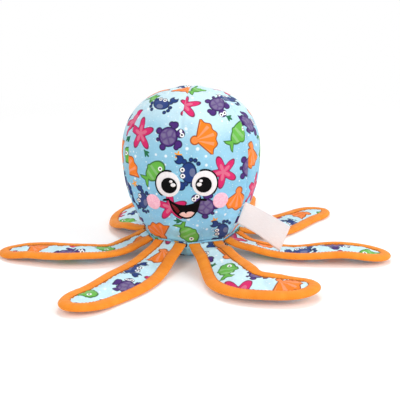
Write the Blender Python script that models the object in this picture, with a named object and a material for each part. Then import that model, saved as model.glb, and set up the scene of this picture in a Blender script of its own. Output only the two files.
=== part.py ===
# Plush octopus, made up as it is sewn: a stuffed head of three fabric panels over a base
# panel, with the roots of eight flat bound arms caught in the seam between head and base.
# Metres, +Z up. The face looks along -Y and the floor is z = 0, under the middle of the base.
# A place round the toy is an angle about Z, counted from the face towards +X.

from math import asin, cos, hypot, pi, radians, sin, sqrt

import bmesh
import bpy
from mathutils import Matrix, Vector

mm = 0.001

# Cloth and the room between neighbouring pieces
fabric_thickness = 1.2 * mm
gap = 0.3 * mm

# Edges that stay crisp in the smooth shading
sharp_angle = radians(40)

# Head, a dome on a body that narrows down to the seam
head_radius = 70 * mm
dome_height = 65.5 * mm
head_centre_height = 100 * mm
front_panel_half_angle = radians(57)
crown_hole_radius = 1.5 * mm
head_rows_below = 6
head_rows_above = 8
head_columns = 9

# Seam, an eight-sided ring with one arm on each side
seam_height = 17 * mm
seam_flat_radius = 45 * mm
seam_allowance = 8 * mm
rounding_height = 30 * mm

# Base, a shallow bowl with a flat middle that the toy sits on
base_flat_radius = 30 * mm
base_columns = 24
base_rows = 4

# Arms, flat and lightly padded, bound round their edge
arm_length = 157 * mm
arm_root_width = 35 * mm
arm_widest_width = 49 * mm
arm_shoulder_width = 43 * mm
arm_tip_length = 32 * mm
arm_widest_share = 0.5
arm_landing_length = 64 * mm
arm_lift = 10 * mm
arm_core_thickness = 1.2 * mm
arm_panel_thickness = 0.6 * mm
arm_crown = 1.0 * mm
arm_walk_count = 140
arm_side_rows = 7
arm_tip_angles = [radians(a) for a in (0, 32, 62)]

# Binding tape folded round the arm's edge
binding_width = 11 * mm
binding_thickness = 0.6 * mm
binding_fold_round = 0.9 * mm
panel_least_share = 0.3

# Face patches, sewn on the front panel and centred on a point of it
face_height = 74.0 * mm
face_tilt = radians(2.4)
patch_thickness = 0.6 * mm
eye_width = 24 * mm
eye_height = 25.5 * mm
eye_spacing = 35.2 * mm
eye_rise = 9.5 * mm
eye_shift = 1.2 * mm
eye_line_width = 1.4 * mm
eye_line_start = radians(110)
eye_line_turn = radians(170)
eye_line_count = 18
pupil_size = 15.4 * mm
pupil_inset = 1.2 * mm
pupil_drop = 1.0 * mm
small_glint_width = 3.6 * mm
small_glint_height = 3.0 * mm
small_glint_inset = 2.4 * mm
small_glint_rise = 4.0 * mm
large_glint_width = 5.2 * mm
large_glint_height = 4.2 * mm
large_glint_inset = 4.2 * mm
large_glint_rise = 0.4 * mm
cheek_size = 16.6 * mm
cheek_spacing = 68.2 * mm
cheek_drop = 10.2 * mm
mouth_width = 32 * mm
mouth_scale = 45 * mm
mouth_drop = 14.3 * mm
mouth_shift = -1.4 * mm
mouth_tick_length = 5.6 * mm
mouth_tick_width = 1.4 * mm
mouth_tick_drop = 2.2 * mm
mouth_tick_count = 3
eye_rim_count = 18
round_rim_count = 16
glint_rim_count = 8

# Care label, a blank ribbon sewn in the side seam on the +X side
label_length = 50 * mm
label_width = 25 * mm
label_thickness = 0.8 * mm
label_height = 47 * mm
label_swing = radians(24)
label_droop = radians(6)
label_columns = 6
label_rows = 2

# Each arm: the side of the seam it is sewn to, how far it turns from straight along its
# length, how far it is rolled, and how much of arm_lift it stands off the floor.
bend_shares = (0, 0.15, 0.4, 0.7, 1)
arms = {
    "front_right_arm": dict(
        side=0, bend=(0, 2, -3, 60, 110), roll=(0, 8, 14, 7, 0), lift_share=(0, 0.5, 0.2, 0.5, 0.7)
    ),
    "right_arm": dict(
        side=1, bend=(0, 16, 20, 20, 20), roll=(0, -6, -6, -2, 0), lift_share=(0, 0, 0, 0.6, 0.3)
    ),
    "back_right_arm": dict(
        side=2, bend=(0, 17, 36, 30, 4), roll=(0, 8, 2, 0, 0), lift_share=(0, 0.3, 0, 0, 0)
    ),
    "rear_right_arm": dict(
        side=3, bend=(0, 6, 10, 16, 24), roll=(0, 0, 0, 0, 0), lift_share=(0, 0, 0.2, 0.2, 0)
    ),
    "rear_left_arm": dict(
        side=4, bend=(0, -20, -32, -34, -40), roll=(0, 0, 0, 0, 0), lift_share=(0, 0, 0.2, 0, 0)
    ),
    "back_left_arm": dict(
        side=5, bend=(0, -32, -66, -82, -84), roll=(0, -2, -9, -10, 0), lift_share=(0, 0.4, 0.1, 0, 0)
    ),
    "left_arm": dict(
        side=6, bend=(0, 24, -18, -32, -38), roll=(0, 8, 6, 2, 0), lift_share=(0, 0, 0.3, 0.4, 0)
    ),
    "front_left_arm": dict(
        side=7, bend=(0, 0, -2, -10, -18), roll=(0, -2, -5, -4, 0), lift_share=(0, 0.2, 0, 0, 0.4)
    ),
}

# Worked out from the sizes above
arm_count = len(arms)
side_angle = 2 * pi / arm_count
arm_half_thickness = arm_core_thickness / 2 + arm_panel_thickness + binding_thickness + 2 * gap
hinge_radius = seam_flat_radius + gap + arm_half_thickness
head_edge_height = seam_height + arm_half_thickness + gap
base_edge_height = seam_height - arm_half_thickness - gap
back_seam_angle = pi
widest_column = (back_seam_angle - front_panel_half_angle) / head_columns
chord_room = head_radius * (1 - cos(widest_column / 2))


def clear_scene():
    for thing in list(bpy.data.objects):
        bpy.data.objects.remove(thing)


def material(name, colour, roughness):
    made = bpy.data.materials.new(name)
    made.use_nodes = True
    shader = made.node_tree.nodes["Principled BSDF"]
    shader.inputs["Base Color"].default_value = (*colour, 1)
    shader.inputs["Roughness"].default_value = roughness
    shader.inputs["Metallic"].default_value = 0
    return made


def add_piece(name, mesh, finish):
    made = bpy.data.meshes.new(name)
    bmesh.ops.triangulate(mesh, faces=mesh.faces)
    bmesh.ops.recalc_face_normals(mesh, faces=mesh.faces)
    mesh.to_mesh(made)
    mesh.free()
    made.shade_smooth()
    made.set_sharp_from_angle(angle=sharp_angle)
    made.materials.append(finish)
    piece = bpy.data.objects.new(name, made)
    bpy.context.collection.objects.link(piece)
    return piece


def smooth(share):
    share = min(max(share, 0), 1)
    return share * share * (3 - 2 * share)


def between(shares, values, share):
    # The value at a share of the way, passing through the values given at the shares.
    for k in range(len(shares) - 2):
        if share < shares[k + 1]:
            break
    else:
        k = len(shares) - 2
    part = smooth((share - shares[k]) / (shares[k + 1] - shares[k]))
    return values[k] + (values[k + 1] - values[k]) * part


def around(angle, radius, height):
    return Vector((radius * sin(angle), -radius * cos(angle), height))


# Closed solids from grids of points


def closed_sheet(mesh, low_rows, high_rows):
    # A sheet between two grids of points, with a wall all round its edge.
    low = [[mesh.verts.new(p) for p in row] for row in low_rows]
    high = [[mesh.verts.new(p) for p in row] for row in high_rows]
    last_row = len(low) - 1
    last = len(low[0]) - 1
    for j in range(last_row):
        for i in range(last):
            mesh.faces.new((high[j][i], high[j][i + 1], high[j + 1][i + 1], high[j + 1][i]))
            mesh.faces.new((low[j][i], low[j + 1][i], low[j + 1][i + 1], low[j][i + 1]))
    edge = [(0, i) for i in range(last)] + [(j, last) for j in range(last_row)]
    edge += [(last_row, i) for i in range(last, 0, -1)] + [(j, 0) for j in range(last_row, 0, -1)]
    for (j, i), (m, n) in zip(edge, edge[1:] + edge[:1]):
        mesh.faces.new((low[j][i], low[m][n], high[m][n], high[j][i]))


def closed_bowl(mesh, rings):
    # A solid through rings of points, closed with a flat face at each end.
    made = [[mesh.verts.new(p) for p in ring] for ring in rings]
    count = len(made[0])
    for one, two in zip(made, made[1:]):
        for i in range(count):
            k = (i + 1) % count
            mesh.faces.new((one[i], one[k], two[k], two[i]))
    mesh.faces.new(list(reversed(made[0])))
    mesh.faces.new(made[-1])


def closed_strip(mesh, rings):
    # A bent bar: each ring is a closed run of points, outer points first and then the
    # inner ones in the same order, so the ends close as a row of four-sided faces.
    made = [[mesh.verts.new(p) for p in ring] for ring in rings]
    half = len(made[0]) // 2
    run = list(range(half)) + list(range(2 * half - 1, half - 1, -1))
    for one, two in zip(made, made[1:]):
        for a, b in zip(run, run[1:] + run[:1]):
            mesh.faces.new((one[a], one[b], two[b], two[a]))
    for end in (made[0], made[-1]):
        for i in range(half - 1):
            mesh.faces.new((end[i], end[i + 1], end[half + i + 1], end[half + i]))


def closed_loop(mesh, rings):
    # A closed ring with four corners in each section: outer low, outer high, inner low,
    # inner high.
    made = [[mesh.verts.new(p) for p in ring] for ring in rings]
    run = (0, 1, 3, 2)
    for one, two in zip(made, made[1:] + made[:1]):
        for a, b in zip(run, run[1:] + run[:1]):
            mesh.faces.new((one[a], one[b], two[b], two[a]))


# Head and base


def seam_share(angle):
    # How much further out the eight-sided seam lies than the middle of its sides.
    off = (angle % side_angle) - side_angle / 2
    return 1 / cos(off)


def head_round_radius(height, inset=0.0):
    if height >= head_centre_height:
        rise_share = min((height - head_centre_height) / (dome_height - inset), 1)
        return (head_radius - inset) * sqrt(1 - rise_share ** 2)
    share = (height - head_edge_height) / (head_centre_height - head_edge_height)
    return head_radius - inset - (head_radius - seam_flat_radius) * (1 - share) ** 2


def head_point(angle, height, inset=0.0):
    corner = 1 - smooth((height - head_edge_height) / rounding_height)
    stretch = 1 + (seam_share(angle) - 1) * corner
    return around(angle, head_round_radius(height, inset) * stretch, height)


def head_heights(inset):
    # From the seam up to the hole that is left where the panels meet at the crown.
    rows = []
    for j in range(head_rows_below):
        rows.append(head_edge_height + (head_centre_height - head_edge_height) * j / head_rows_below)
    top_angle = pi / 2 - asin(crown_hole_radius / head_radius)
    for j in range(head_rows_above + 1):
        rows.append(head_centre_height + (dome_height - inset) * sin(top_angle * j / head_rows_above))
    return rows


def head_panel(name, start, end, finish):
    grids = []
    for inset in (fabric_thickness, 0.0):
        rows = []
        for height in head_heights(inset):
            trim = asin(gap / 2 / head_round_radius(height, inset))
            first = start + trim
            step = (end - start - 2 * trim) / head_columns
            rows.append([head_point(first + step * i, height, inset) for i in range(head_columns + 1)])
        grids.append(rows)
    mesh = bmesh.new()
    closed_sheet(mesh, *grids)
    return add_piece(name, mesh, finish)


def base_point(angle, turn, inset):
    # turn goes from 0 at the seam to a quarter circle where the base meets the floor.
    reach = (seam_flat_radius - base_flat_radius - inset) * cos(turn)
    drop = (base_edge_height - inset) * sin(turn)
    stretch = 1 + (seam_share(angle) - 1) * cos(turn)
    return around(angle, (base_flat_radius + reach) * stretch, base_edge_height - drop)


def base_rings(inset):
    rings = []
    for j in range(base_rows + 1):
        turn = pi / 2 * j / base_rows
        rings.append([base_point(2 * pi * i / base_columns, turn, inset) for i in range(base_columns)])
    return rings


def base_panel(finish):
    mesh = bmesh.new()
    closed_bowl(mesh, list(reversed(base_rings(0.0))) + base_rings(fabric_thickness))
    return add_piece("base_panel", mesh, finish)


def stuffing(finish):
    # Fills the cover up to its inside face, with a waist at the seam that clears the
    # turned-in ends of the arms.
    inset = fabric_thickness + gap + chord_room
    waist = seam_flat_radius - seam_allowance - gap
    angles = [2 * pi * i / base_columns for i in range(base_columns)]
    rings = list(reversed(base_rings(inset)))
    for height in (base_edge_height, head_edge_height):
        rings.append([around(a, waist, height) for a in angles])
    for height in head_heights(inset)[:-1]:
        rings.append([around(a, head_round_radius(height, inset), height) for a in angles])
    mesh = bmesh.new()
    closed_bowl(mesh, rings)
    return add_piece("stuffing", mesh, finish)


def seam_ring(finish):
    # The turned-in edges of head, base and arms, sewn together into a ring with one flat
    # side behind each arm.
    mesh = bmesh.new()
    rings = []
    for k in range(arm_count):
        corner = side_angle * k
        ring = []
        for depth in (0.0, seam_allowance):
            reach = (seam_flat_radius - depth) * seam_share(corner)
            for side in (-1, 1):
                ring.append(around(corner, reach, seam_height + side * arm_half_thickness))
        rings.append(ring)
    closed_loop(mesh, rings)
    return add_piece("seam_ring", mesh, finish)


# Arms


def arm_half_width(distance):
    # Swells from the root to its widest, narrows to the shoulder and rounds off to the tip.
    shoulder = arm_length - arm_tip_length
    widths = (arm_root_width / 2, arm_widest_width / 2, arm_shoulder_width / 2)
    shares = (0, arm_widest_share, shoulder / arm_length)
    return between(shares, widths, min(distance, shoulder) / arm_length)


def arm_walk(arm):
    # The arm's middle line as places and directions, walked out from the hinge.
    step = arm_length / arm_walk_count
    root_angle = side_angle * (arm["side"] + 1 / 2)
    root = around(root_angle, hinge_radius, seam_height)
    walk = []
    flat = Vector((0, 0, 0))
    last_height = None
    for k in range(arm_walk_count + 1):
        share = k / arm_walk_count
        distance = step * k
        heading = root_angle + radians(between(bend_shares, arm["bend"], share))
        roll = radians(between(bend_shares, arm["roll"], share))
        fall = max(0, 1 - distance / arm_landing_length) ** 2
        height = arm_half_thickness + (seam_height - arm_half_thickness) * fall
        tilt_room = arm_half_width(distance) * abs(sin(roll)) * (1 - fall)
        height += tilt_room + arm_lift * between(bend_shares, arm["lift_share"], share)
        slope = 0 if last_height is None else asin((height - last_height) / step)
        last_height = height
        walk.append([flat.copy() + root, heading, slope, roll, height])
        flat += around(heading, step * cos(slope), 0)
    walk[0][2] = walk[1][2]
    return walk, step


def arm_frame(walk, step, distance):
    # Middle line, forward, sideways and upward directions at a distance from the hinge.
    place = max(distance / step, 0)
    k = min(int(place), len(walk) - 2)
    part = min(place - k, 1)
    one, two = walk[k], walk[k + 1]
    heading, slope, roll, height = [a + (b - a) * part for a, b in zip(one[1:], two[1:])]
    middle = one[0].lerp(two[0], part)
    middle.z = height
    forward = around(heading, cos(slope), sin(slope))
    level = Vector((cos(heading), sin(heading), 0))
    upward = forward.cross(level)
    side = level * cos(roll) + upward * sin(roll)
    upward = upward * cos(roll) - level * sin(roll)
    if distance < 0:
        middle = middle + forward * distance
    return middle, forward, side, upward


class ArmShape:
    # Turns a place on the flat arm (along, across, above) into a point of the laid-out arm.

    def __init__(self, arm):
        self.walk, self.step = arm_walk(arm)

    def point(self, along, across, above):
        middle, forward, side, upward = arm_frame(self.walk, self.step, along)
        return middle + side * across + upward * above

    def root_point(self, across, above):
        # The root end is rounded about the hinge line, so that it turns clear of the seam.
        back = sqrt(max(arm_half_thickness ** 2 - above * above, 0))
        return self.point(-back, across, above)


def arm_outline(inset, part):
    # The arm's edge drawn in by an inset: along and half width at a part of the rows.
    shoulder = arm_length - arm_tip_length
    if part <= arm_side_rows:
        along = shoulder * part / arm_side_rows
        return along, arm_half_width(along) - inset
    angle = arm_tip_angles[part - arm_side_rows]
    return shoulder + (arm_tip_length - inset) * sin(angle), (arm_shoulder_width / 2 - inset) * cos(angle)


def arm_layer(name, shape, low, high, bulge_low, bulge_high, finish):
    # One flat layer of the arm inside the binding. It bulges between the tapes.
    inset = binding_fold_round + binding_thickness + gap
    last = arm_side_rows + len(arm_tip_angles) - 1
    grids = ([], [])
    for part in range(last + 1):
        along, half = arm_outline(inset, part)
        inner = max(half * panel_least_share, half + inset - binding_width - gap)
        spread = smooth((half + inset - binding_width) / (arm_root_width / 2))
        crown = arm_crown * spread * smooth(along / arm_root_width)
        for grid, above, bulge in zip(grids, (low, high), (bulge_low, bulge_high)):
            row = []
            for across, rise in ((-half, 0), (-inner, 0), (0, crown * bulge), (inner, 0), (half, 0)):
                if part == 0:
                    row.append(shape.root_point(across, above + rise))
                else:
                    row.append(shape.point(along, across, above + rise))
            grid.append(row)
    mesh = bmesh.new()
    closed_sheet(mesh, *grids)
    return add_piece(name, mesh, finish)


def arm_binding(name, shape, finish):
    # Tape folded over the edge, from the root along one side, round the tip and back.
    top = arm_half_thickness
    fold = [
        (binding_width, top),
        (binding_fold_round, top),
        (0, 0),
        (binding_fold_round, -top),
        (binding_width, -top),
    ]
    under = top - binding_thickness
    lining = [
        (binding_width, under),
        (binding_fold_round + binding_thickness, under),
        (binding_thickness, 0),
        (binding_fold_round + binding_thickness, -under),
        (binding_width, -under),
    ]
    last = arm_side_rows + len(arm_tip_angles) - 1
    stops = [(part, 1) for part in range(last + 1)] + [(None, 0)]
    stops += [(part, -1) for part in range(last, -1, -1)]
    rings = []
    for part, hand in stops:
        ring = []
        for inset, above in fold + lining:
            if part is None:
                ring.append(shape.point(arm_length - inset, 0, above))
                continue
            along, half = arm_outline(inset, part)
            if part == 0:
                ring.append(shape.root_point(hand * half, above))
            else:
                ring.append(shape.point(along, hand * half, above))
        rings.append(ring)
    mesh = bmesh.new()
    closed_strip(mesh, rings)
    return add_piece(name, mesh, finish)


def arm(name, arm_plan, finishes):
    # The four layers hang from an empty on the hinge line, level and square to the seam.
    shape = ArmShape(arm_plan)
    angle = side_angle * (arm_plan["side"] + 1 / 2)
    hinge = bpy.data.objects.new(name + "_hinge", None)
    hinge.location = around(angle, hinge_radius, seam_height)
    hinge.rotation_euler = (0, 0, angle)
    bpy.context.collection.objects.link(hinge)
    core = arm_core_thickness / 2
    inside = core + gap
    outside = inside + arm_panel_thickness
    layers = [
        arm_layer(name + "_core", shape, -core, core, 0, 1, finishes["padding"]),
        arm_layer(name + "_top_panel", shape, inside, outside, 1, 1, finishes["arm_print"]),
        arm_layer(name + "_underside", shape, -outside, -inside, 0, 0, finishes["head_print"]),
        arm_binding(name + "_binding", shape, finishes["binding"]),
    ]
    to_hinge = (Matrix.Translation(hinge.location) @ Matrix.Rotation(angle, 4, "Z")).inverted()
    for layer in layers:
        layer.data.transform(to_hinge)
        layer.parent = hinge


# Face


def face_point(across, up, lift):
    # A point of the face, given on the flat patch in front of it, lifted off the head.
    x = across * cos(face_tilt) - up * sin(face_tilt)
    y = across * sin(face_tilt) + up * cos(face_tilt)
    height = face_height + y * meridian_rise
    radius = head_round_radius(height)
    middle = head_point(x / radius, height)
    ahead = head_point(x / radius, height + gap)
    tilt = (ahead - middle).normalized()
    level = Vector((cos(x / radius), sin(x / radius), 0))
    return middle + tilt.cross(level).normalized() * -lift


def meridian():
    # Height gained for each length climbed along the head at the face.
    rise = gap
    run = head_round_radius(face_height + rise) - head_round_radius(face_height)
    return rise / hypot(rise, run)


meridian_rise = meridian()


def ring_points(outline_share, centre, width, height):
    return [(centre[0] + x * width / 2, centre[1] + y * height / 2) for x, y in outline_share]


def oval(count):
    return [(cos(2 * pi * k / count), sin(2 * pi * k / count)) for k in range(count)]


def patch(mesh, outline, layer, fills=2):
    # A thin patch over the head: its outline drawn in towards its middle in a few rings.
    low = gap + layer * (patch_thickness + gap)
    centre = Vector((sum(p[0] for p in outline), sum(p[1] for p in outline))) / len(outline)
    sheets = []
    for lift in (low, low + patch_thickness):
        rings = []
        for k in range(fills):
            share = 1 - k / fills
            rings.append([
                mesh.verts.new(face_point(*(centre + (Vector(p) - centre) * share), lift)) for p in outline
            ])
        middle = mesh.verts.new(face_point(*centre, lift))
        sheets.append((rings, middle))
    count = len(outline)
    for rings, middle in sheets:
        for i in range(count):
            j = (i + 1) % count
            for one, two in zip(rings, rings[1:]):
                mesh.faces.new((one[i], one[j], two[j], two[i]))
            mesh.faces.new((rings[-1][i], rings[-1][j], middle))
    for i in range(count):
        j = (i + 1) % count
        mesh.faces.new((sheets[0][0][0][i], sheets[0][0][0][j], sheets[1][0][0][j], sheets[1][0][0][i]))


def line_patch(mesh, path, width, layer):
    # A stitched line of even width along a path on the face.
    low = gap + layer * (patch_thickness + gap)
    rings = []
    for k, place in enumerate(path):
        before = Vector(path[max(k - 1, 0)])
        after = Vector(path[min(k + 1, len(path) - 1)])
        run = (after - before).normalized()
        out = Vector((-run.y, run.x)) * width / 2
        left, right = Vector(place) + out, Vector(place) - out
        rings.append([
            face_point(*left, low),
            face_point(*right, low),
            face_point(*left, low + patch_thickness),
            face_point(*right, low + patch_thickness),
        ])
    closed_strip(mesh, rings)


def one_patch(name, outline, layer, finish, fills=2):
    mesh = bmesh.new()
    patch(mesh, outline, layer, fills)
    return add_piece(name, mesh, finish)


def eye(side, hand, finishes):
    # White, pupil, two glints and a drawn line round the outer side. hand is -1 or 1.
    centre = (eye_shift + hand * eye_spacing / 2, eye_rise)
    white = ring_points(oval(eye_rim_count), centre, eye_width, eye_height)
    one_patch(side + "_eye_white", white, 0, finishes["white"])
    middle = (centre[0] - hand * pupil_inset, centre[1] - pupil_drop)
    pupil = ring_points(oval(round_rim_count), middle, pupil_size, pupil_size)
    one_patch(side + "_pupil", pupil, 1, finishes["black"])
    glints = (
        ("small", small_glint_inset, small_glint_rise, small_glint_width, small_glint_height),
        ("large", large_glint_inset, large_glint_rise, large_glint_width, large_glint_height),
    )
    for size, inset, rise, width, height in glints:
        place = (middle[0] - hand * inset, middle[1] + rise)
        name = f"{side}_eye_{size}_glint"
        one_patch(name, ring_points(oval(glint_rim_count), place, width, height), 2, finishes["white"], 1)
    reach = 1 + (gap + eye_line_width / 2) * 2 / eye_width
    path = []
    for k in range(eye_line_count + 1):
        outward = eye_line_start - eye_line_turn * k / eye_line_count
        angle = outward if hand > 0 else pi - outward
        path.append((
            centre[0] + cos(angle) * reach * eye_width / 2,
            centre[1] + sin(angle) * reach * eye_height / 2,
        ))
    mesh = bmesh.new()
    line_patch(mesh, path, eye_line_width, 0)
    add_piece(side + "_eye_line", mesh, finishes["black"])


# Upper and lower edges, as shares of half the mouth's width and of half its depth scale
mouth_shares = (
    [(-1, 0.46), (-0.78, 0.29), (-0.5, 0.17), (-0.2, 0.11)]
    + [(0.12, 0.11), (0.45, 0.17), (0.76, 0.28), (1, 0.43)],
    [(-0.93, 0.3), (-0.78, -0.06), (-0.6, -0.33), (-0.27, -0.52)]
    + [(0.08, -0.58), (0.42, -0.5), (0.72, -0.2), (0.94, 0.27)],
)
mouth_red_shares = (
    [(-0.86, 0.2), (-0.7, 0.13), (-0.54, 0.03), (-0.35, -0.19)],
    [(-0.81, 0.1), (-0.73, -0.04), (-0.64, -0.18), (-0.49, -0.33)],
)
tongue_shares = (
    [(-0.41, -0.345), (-0.23, -0.25), (-0.05, -0.245), (0.03, -0.33)]
    + [(0.11, -0.24), (0.36, -0.215), (0.58, -0.27)],
    [(-0.38, -0.375), (-0.2, -0.46), (-0.07, -0.5), (0.05, -0.52)]
    + [(0.15, -0.515), (0.34, -0.47), (0.53, -0.34)],
)


def band_patch(name, edges, rows, layer, finish):
    # A thin patch between an upper and a lower edge with as many points each.
    low = gap + layer * (patch_thickness + gap)
    grids = []
    for lift in (low, low + patch_thickness):
        grids.append([
            [face_point(*Vector(one).lerp(Vector(two), k / rows), lift) for k in range(rows + 1)]
            for one, two in zip(*edges)
        ])
    mesh = bmesh.new()
    closed_sheet(mesh, *grids)
    return add_piece(name, mesh, finish)


def mouth(finishes):
    centre = (mouth_shift, -mouth_drop)

    def place(edges_share):
        return [ring_points(edge, centre, mouth_width, mouth_scale) for edge in edges_share]

    edges = place(mouth_shares)
    band_patch("mouth", edges, 3, 0, finishes["black"])
    band_patch("mouth_red", place(mouth_red_shares), 1, 1, finishes["dark_red"])
    band_patch("tongue", place(tongue_shares), 1, 1, finishes["tongue"])
    upper = edges[0]
    for side, corner, hand in (("left", upper[0], -1), ("right", upper[-1], 1)):
        start = (corner[0] + hand * (gap + mouth_tick_width / 4), corner[1] - mouth_tick_drop)
        path = []
        for k in range(mouth_tick_count + 1):
            share = k / mouth_tick_count
            drop = mouth_tick_width / 2 * share * share
            path.append((start[0] + hand * mouth_tick_length * share, start[1] - drop))
        mesh = bmesh.new()
        line_patch(mesh, path, mouth_tick_width, 0)
        add_piece(side + "_mouth_tick", mesh, finishes["black"])


def cheek(side, hand, finish):
    centre = (hand * cheek_spacing / 2, -cheek_drop)
    one_patch(side + "_cheek", ring_points(oval(round_rim_count), centre, cheek_size, cheek_size), 0, finish)


# Care label


def care_label(finish):
    # Stands out from the side seam, drooping. Its origin is on the seam, its own Z along
    # the seam and its own X out along the ribbon, before the droop.
    angle = front_panel_half_angle
    half = label_width / 2
    top = head_point(angle, label_height + half)
    low = head_point(angle, label_height - half)
    seam = (top - low).normalized()
    level = Vector((cos(angle), sin(angle), 0))
    out = level.cross(seam).normalized()
    if out.dot(around(angle, 1, 0)) < 0:
        out.negate()
    frame = Matrix((out, seam.cross(out), seam)).transposed().to_4x4()
    frame.translation = head_point(angle, label_height) + out * (gap + label_thickness / 2)
    grids = ([], [])
    for i in range(label_columns + 1):
        share = i / label_columns
        reach = label_length * share
        wave = label_thickness * sin(2 * pi * share)
        for grid, side in zip(grids, (-1, 1)):
            row = []
            for j in range(label_rows + 1):
                across = half * (2 * j / label_rows - 1)
                along = reach * cos(label_droop)
                drop = reach * sin(label_droop)
                row.append(Vector((along, wave + side * label_thickness / 2, across - drop)))
            grid.append(row)
    mesh = bmesh.new()
    closed_sheet(mesh, *grids)
    label = add_piece("care_label", mesh, finish)
    label.matrix_world = frame @ Matrix.Rotation(label_swing, 4, "Z")
    return label


def main():
    clear_scene()
    finishes = {
        "head_print": material("printed_plush_blue", (0.30, 0.62, 0.80), 0.85),
        "arm_print": material("printed_plush_pale", (0.62, 0.85, 0.92), 0.85),
        "binding": material("binding_orange", (0.95, 0.31, 0.03), 0.8),
        "padding": material("padding_white", (0.85, 0.85, 0.83), 0.95),
        "white": material("patch_white", (0.92, 0.91, 0.90), 0.8),
        "black": material("patch_black", (0.01, 0.01, 0.012), 0.7),
        "dark_red": material("patch_dark_red", (0.2, 0.02, 0.03), 0.8),
        "tongue": material("patch_pale_pink", (0.9, 0.62, 0.56), 0.8),
        "cheek": material("patch_pink", (0.93, 0.5, 0.6), 0.85),
        "label": material("label_ribbon", (0.9, 0.88, 0.86), 0.6),
    }
    half = front_panel_half_angle
    head_panel("head_front_panel", -half, half, finishes["head_print"])
    head_panel("head_back_right_panel", half, back_seam_angle, finishes["head_print"])
    head_panel("head_back_left_panel", -back_seam_angle, -half, finishes["head_print"])
    base_panel(finishes["head_print"])
    stuffing(finishes["padding"])
    seam_ring(finishes["padding"])
    for name, plan in arms.items():
        arm(name, plan, finishes)
    for side, hand in (("left", -1), ("right", 1)):
        eye(side, hand, finishes)
        cheek(side, hand, finishes["cheek"])
    mouth(finishes)
    care_label(finishes["label"])


main()
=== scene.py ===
import math
import random

import bmesh
import bpy
import numpy as np
from mathutils import Matrix, Vector
from mathutils.bvhtree import BVHTree


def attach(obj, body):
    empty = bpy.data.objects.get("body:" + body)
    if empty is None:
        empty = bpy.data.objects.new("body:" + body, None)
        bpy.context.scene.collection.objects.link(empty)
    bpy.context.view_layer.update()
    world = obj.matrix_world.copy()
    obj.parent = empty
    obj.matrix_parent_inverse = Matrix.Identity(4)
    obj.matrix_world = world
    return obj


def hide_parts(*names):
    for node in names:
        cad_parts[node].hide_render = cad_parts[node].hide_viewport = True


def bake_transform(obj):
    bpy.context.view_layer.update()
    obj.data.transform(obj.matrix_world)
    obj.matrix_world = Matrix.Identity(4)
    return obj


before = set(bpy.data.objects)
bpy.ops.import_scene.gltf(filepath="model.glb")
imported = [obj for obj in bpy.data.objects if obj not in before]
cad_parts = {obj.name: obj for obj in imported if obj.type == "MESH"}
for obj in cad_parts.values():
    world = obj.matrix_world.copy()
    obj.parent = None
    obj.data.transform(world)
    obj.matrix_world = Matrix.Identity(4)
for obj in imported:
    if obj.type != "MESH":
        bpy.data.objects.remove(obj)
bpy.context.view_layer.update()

mm = 0.001
clothUnit = 100                 # mm of cloth to one unit of the UV map named cloth
weldReach = 2e-6                # points closer than this are one
white = "#FFFFFF"
scene = bpy.context.scene

# Small tools for nodes, meshes and cloth


def linear(hexColour):
    # an sRGB hex value as linear light
    parts = [int(hexColour[k:k + 2], 16) / 255 for k in (1, 3, 5)]
    return [*(p / 12.92 if p <= 0.04045 else ((p + 0.055) / 1.055) ** 2.4 for p in parts), 1.0]


def setInputs(tree, node, inputs):
    # inputs go by socket order or, as a dictionary, by socket name or number
    pairs = inputs.items() if isinstance(inputs, dict) else enumerate(inputs)
    for key, value in pairs:
        if isinstance(value, bpy.types.Node):
            value = value.outputs[0]
        if isinstance(value, bpy.types.NodeSocket):
            tree.links.new(value, node.inputs[key])
        else:
            node.inputs[key].default_value = value


def addNode(tree, kind, inputs=(), **settings):
    node = tree.nodes.new(kind)
    for name, value in settings.items():
        setattr(node, name, value)
    setInputs(tree, node, inputs)
    return node


def newMaterial(name):
    material = bpy.data.materials.new(name)
    material.use_nodes = True
    return material, material.node_tree, material.node_tree.nodes["Principled BSDF"]


def clothPlace(tree):
    # the place on the flat cloth in mm
    uv = addNode(tree, "ShaderNodeUVMap", uv_map="cloth")
    return addNode(tree, "ShaderNodeVectorMath", (uv, (clothUnit,) * 3), operation="MULTIPLY")


def addObject(name, data):
    made = bpy.data.objects.new(name, data)
    scene.collection.objects.link(made)
    return made


def smooth(share):
    share = min(max(share, 0.0), 1.0)
    return share * share * (3 - 2 * share)


def around(angle, radius, height):
    return Vector((radius * math.sin(angle), -radius * math.cos(angle), height))


def ripple(seed, count=4):
    # a smooth wandering value between about -1 and 1, the same at every run
    dice = random.Random(seed)
    waves = [(dice.uniform(0.5, 1.9), dice.uniform(0, 6.28), dice.uniform(0.5, 1)) for _ in range(count)]
    total = sum(w[2] for w in waves)
    return lambda place: sum(math.sin(w[0] * place + w[1]) * w[2] for w in waves) / total


def finishPiece(name, mesh, material):
    # closed, outward facing, smooth shaded
    bmesh.ops.remove_doubles(mesh, verts=mesh.verts, dist=weldReach)
    bmesh.ops.dissolve_degenerate(mesh, edges=mesh.edges, dist=weldReach / 2)
    bmesh.ops.recalc_face_normals(mesh, faces=mesh.faces)
    made = bpy.data.meshes.new(name)
    mesh.to_mesh(made)
    mesh.free()
    made.shade_smooth()
    made.materials.append(material)
    piece = addObject(name, made)
    return piece


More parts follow.
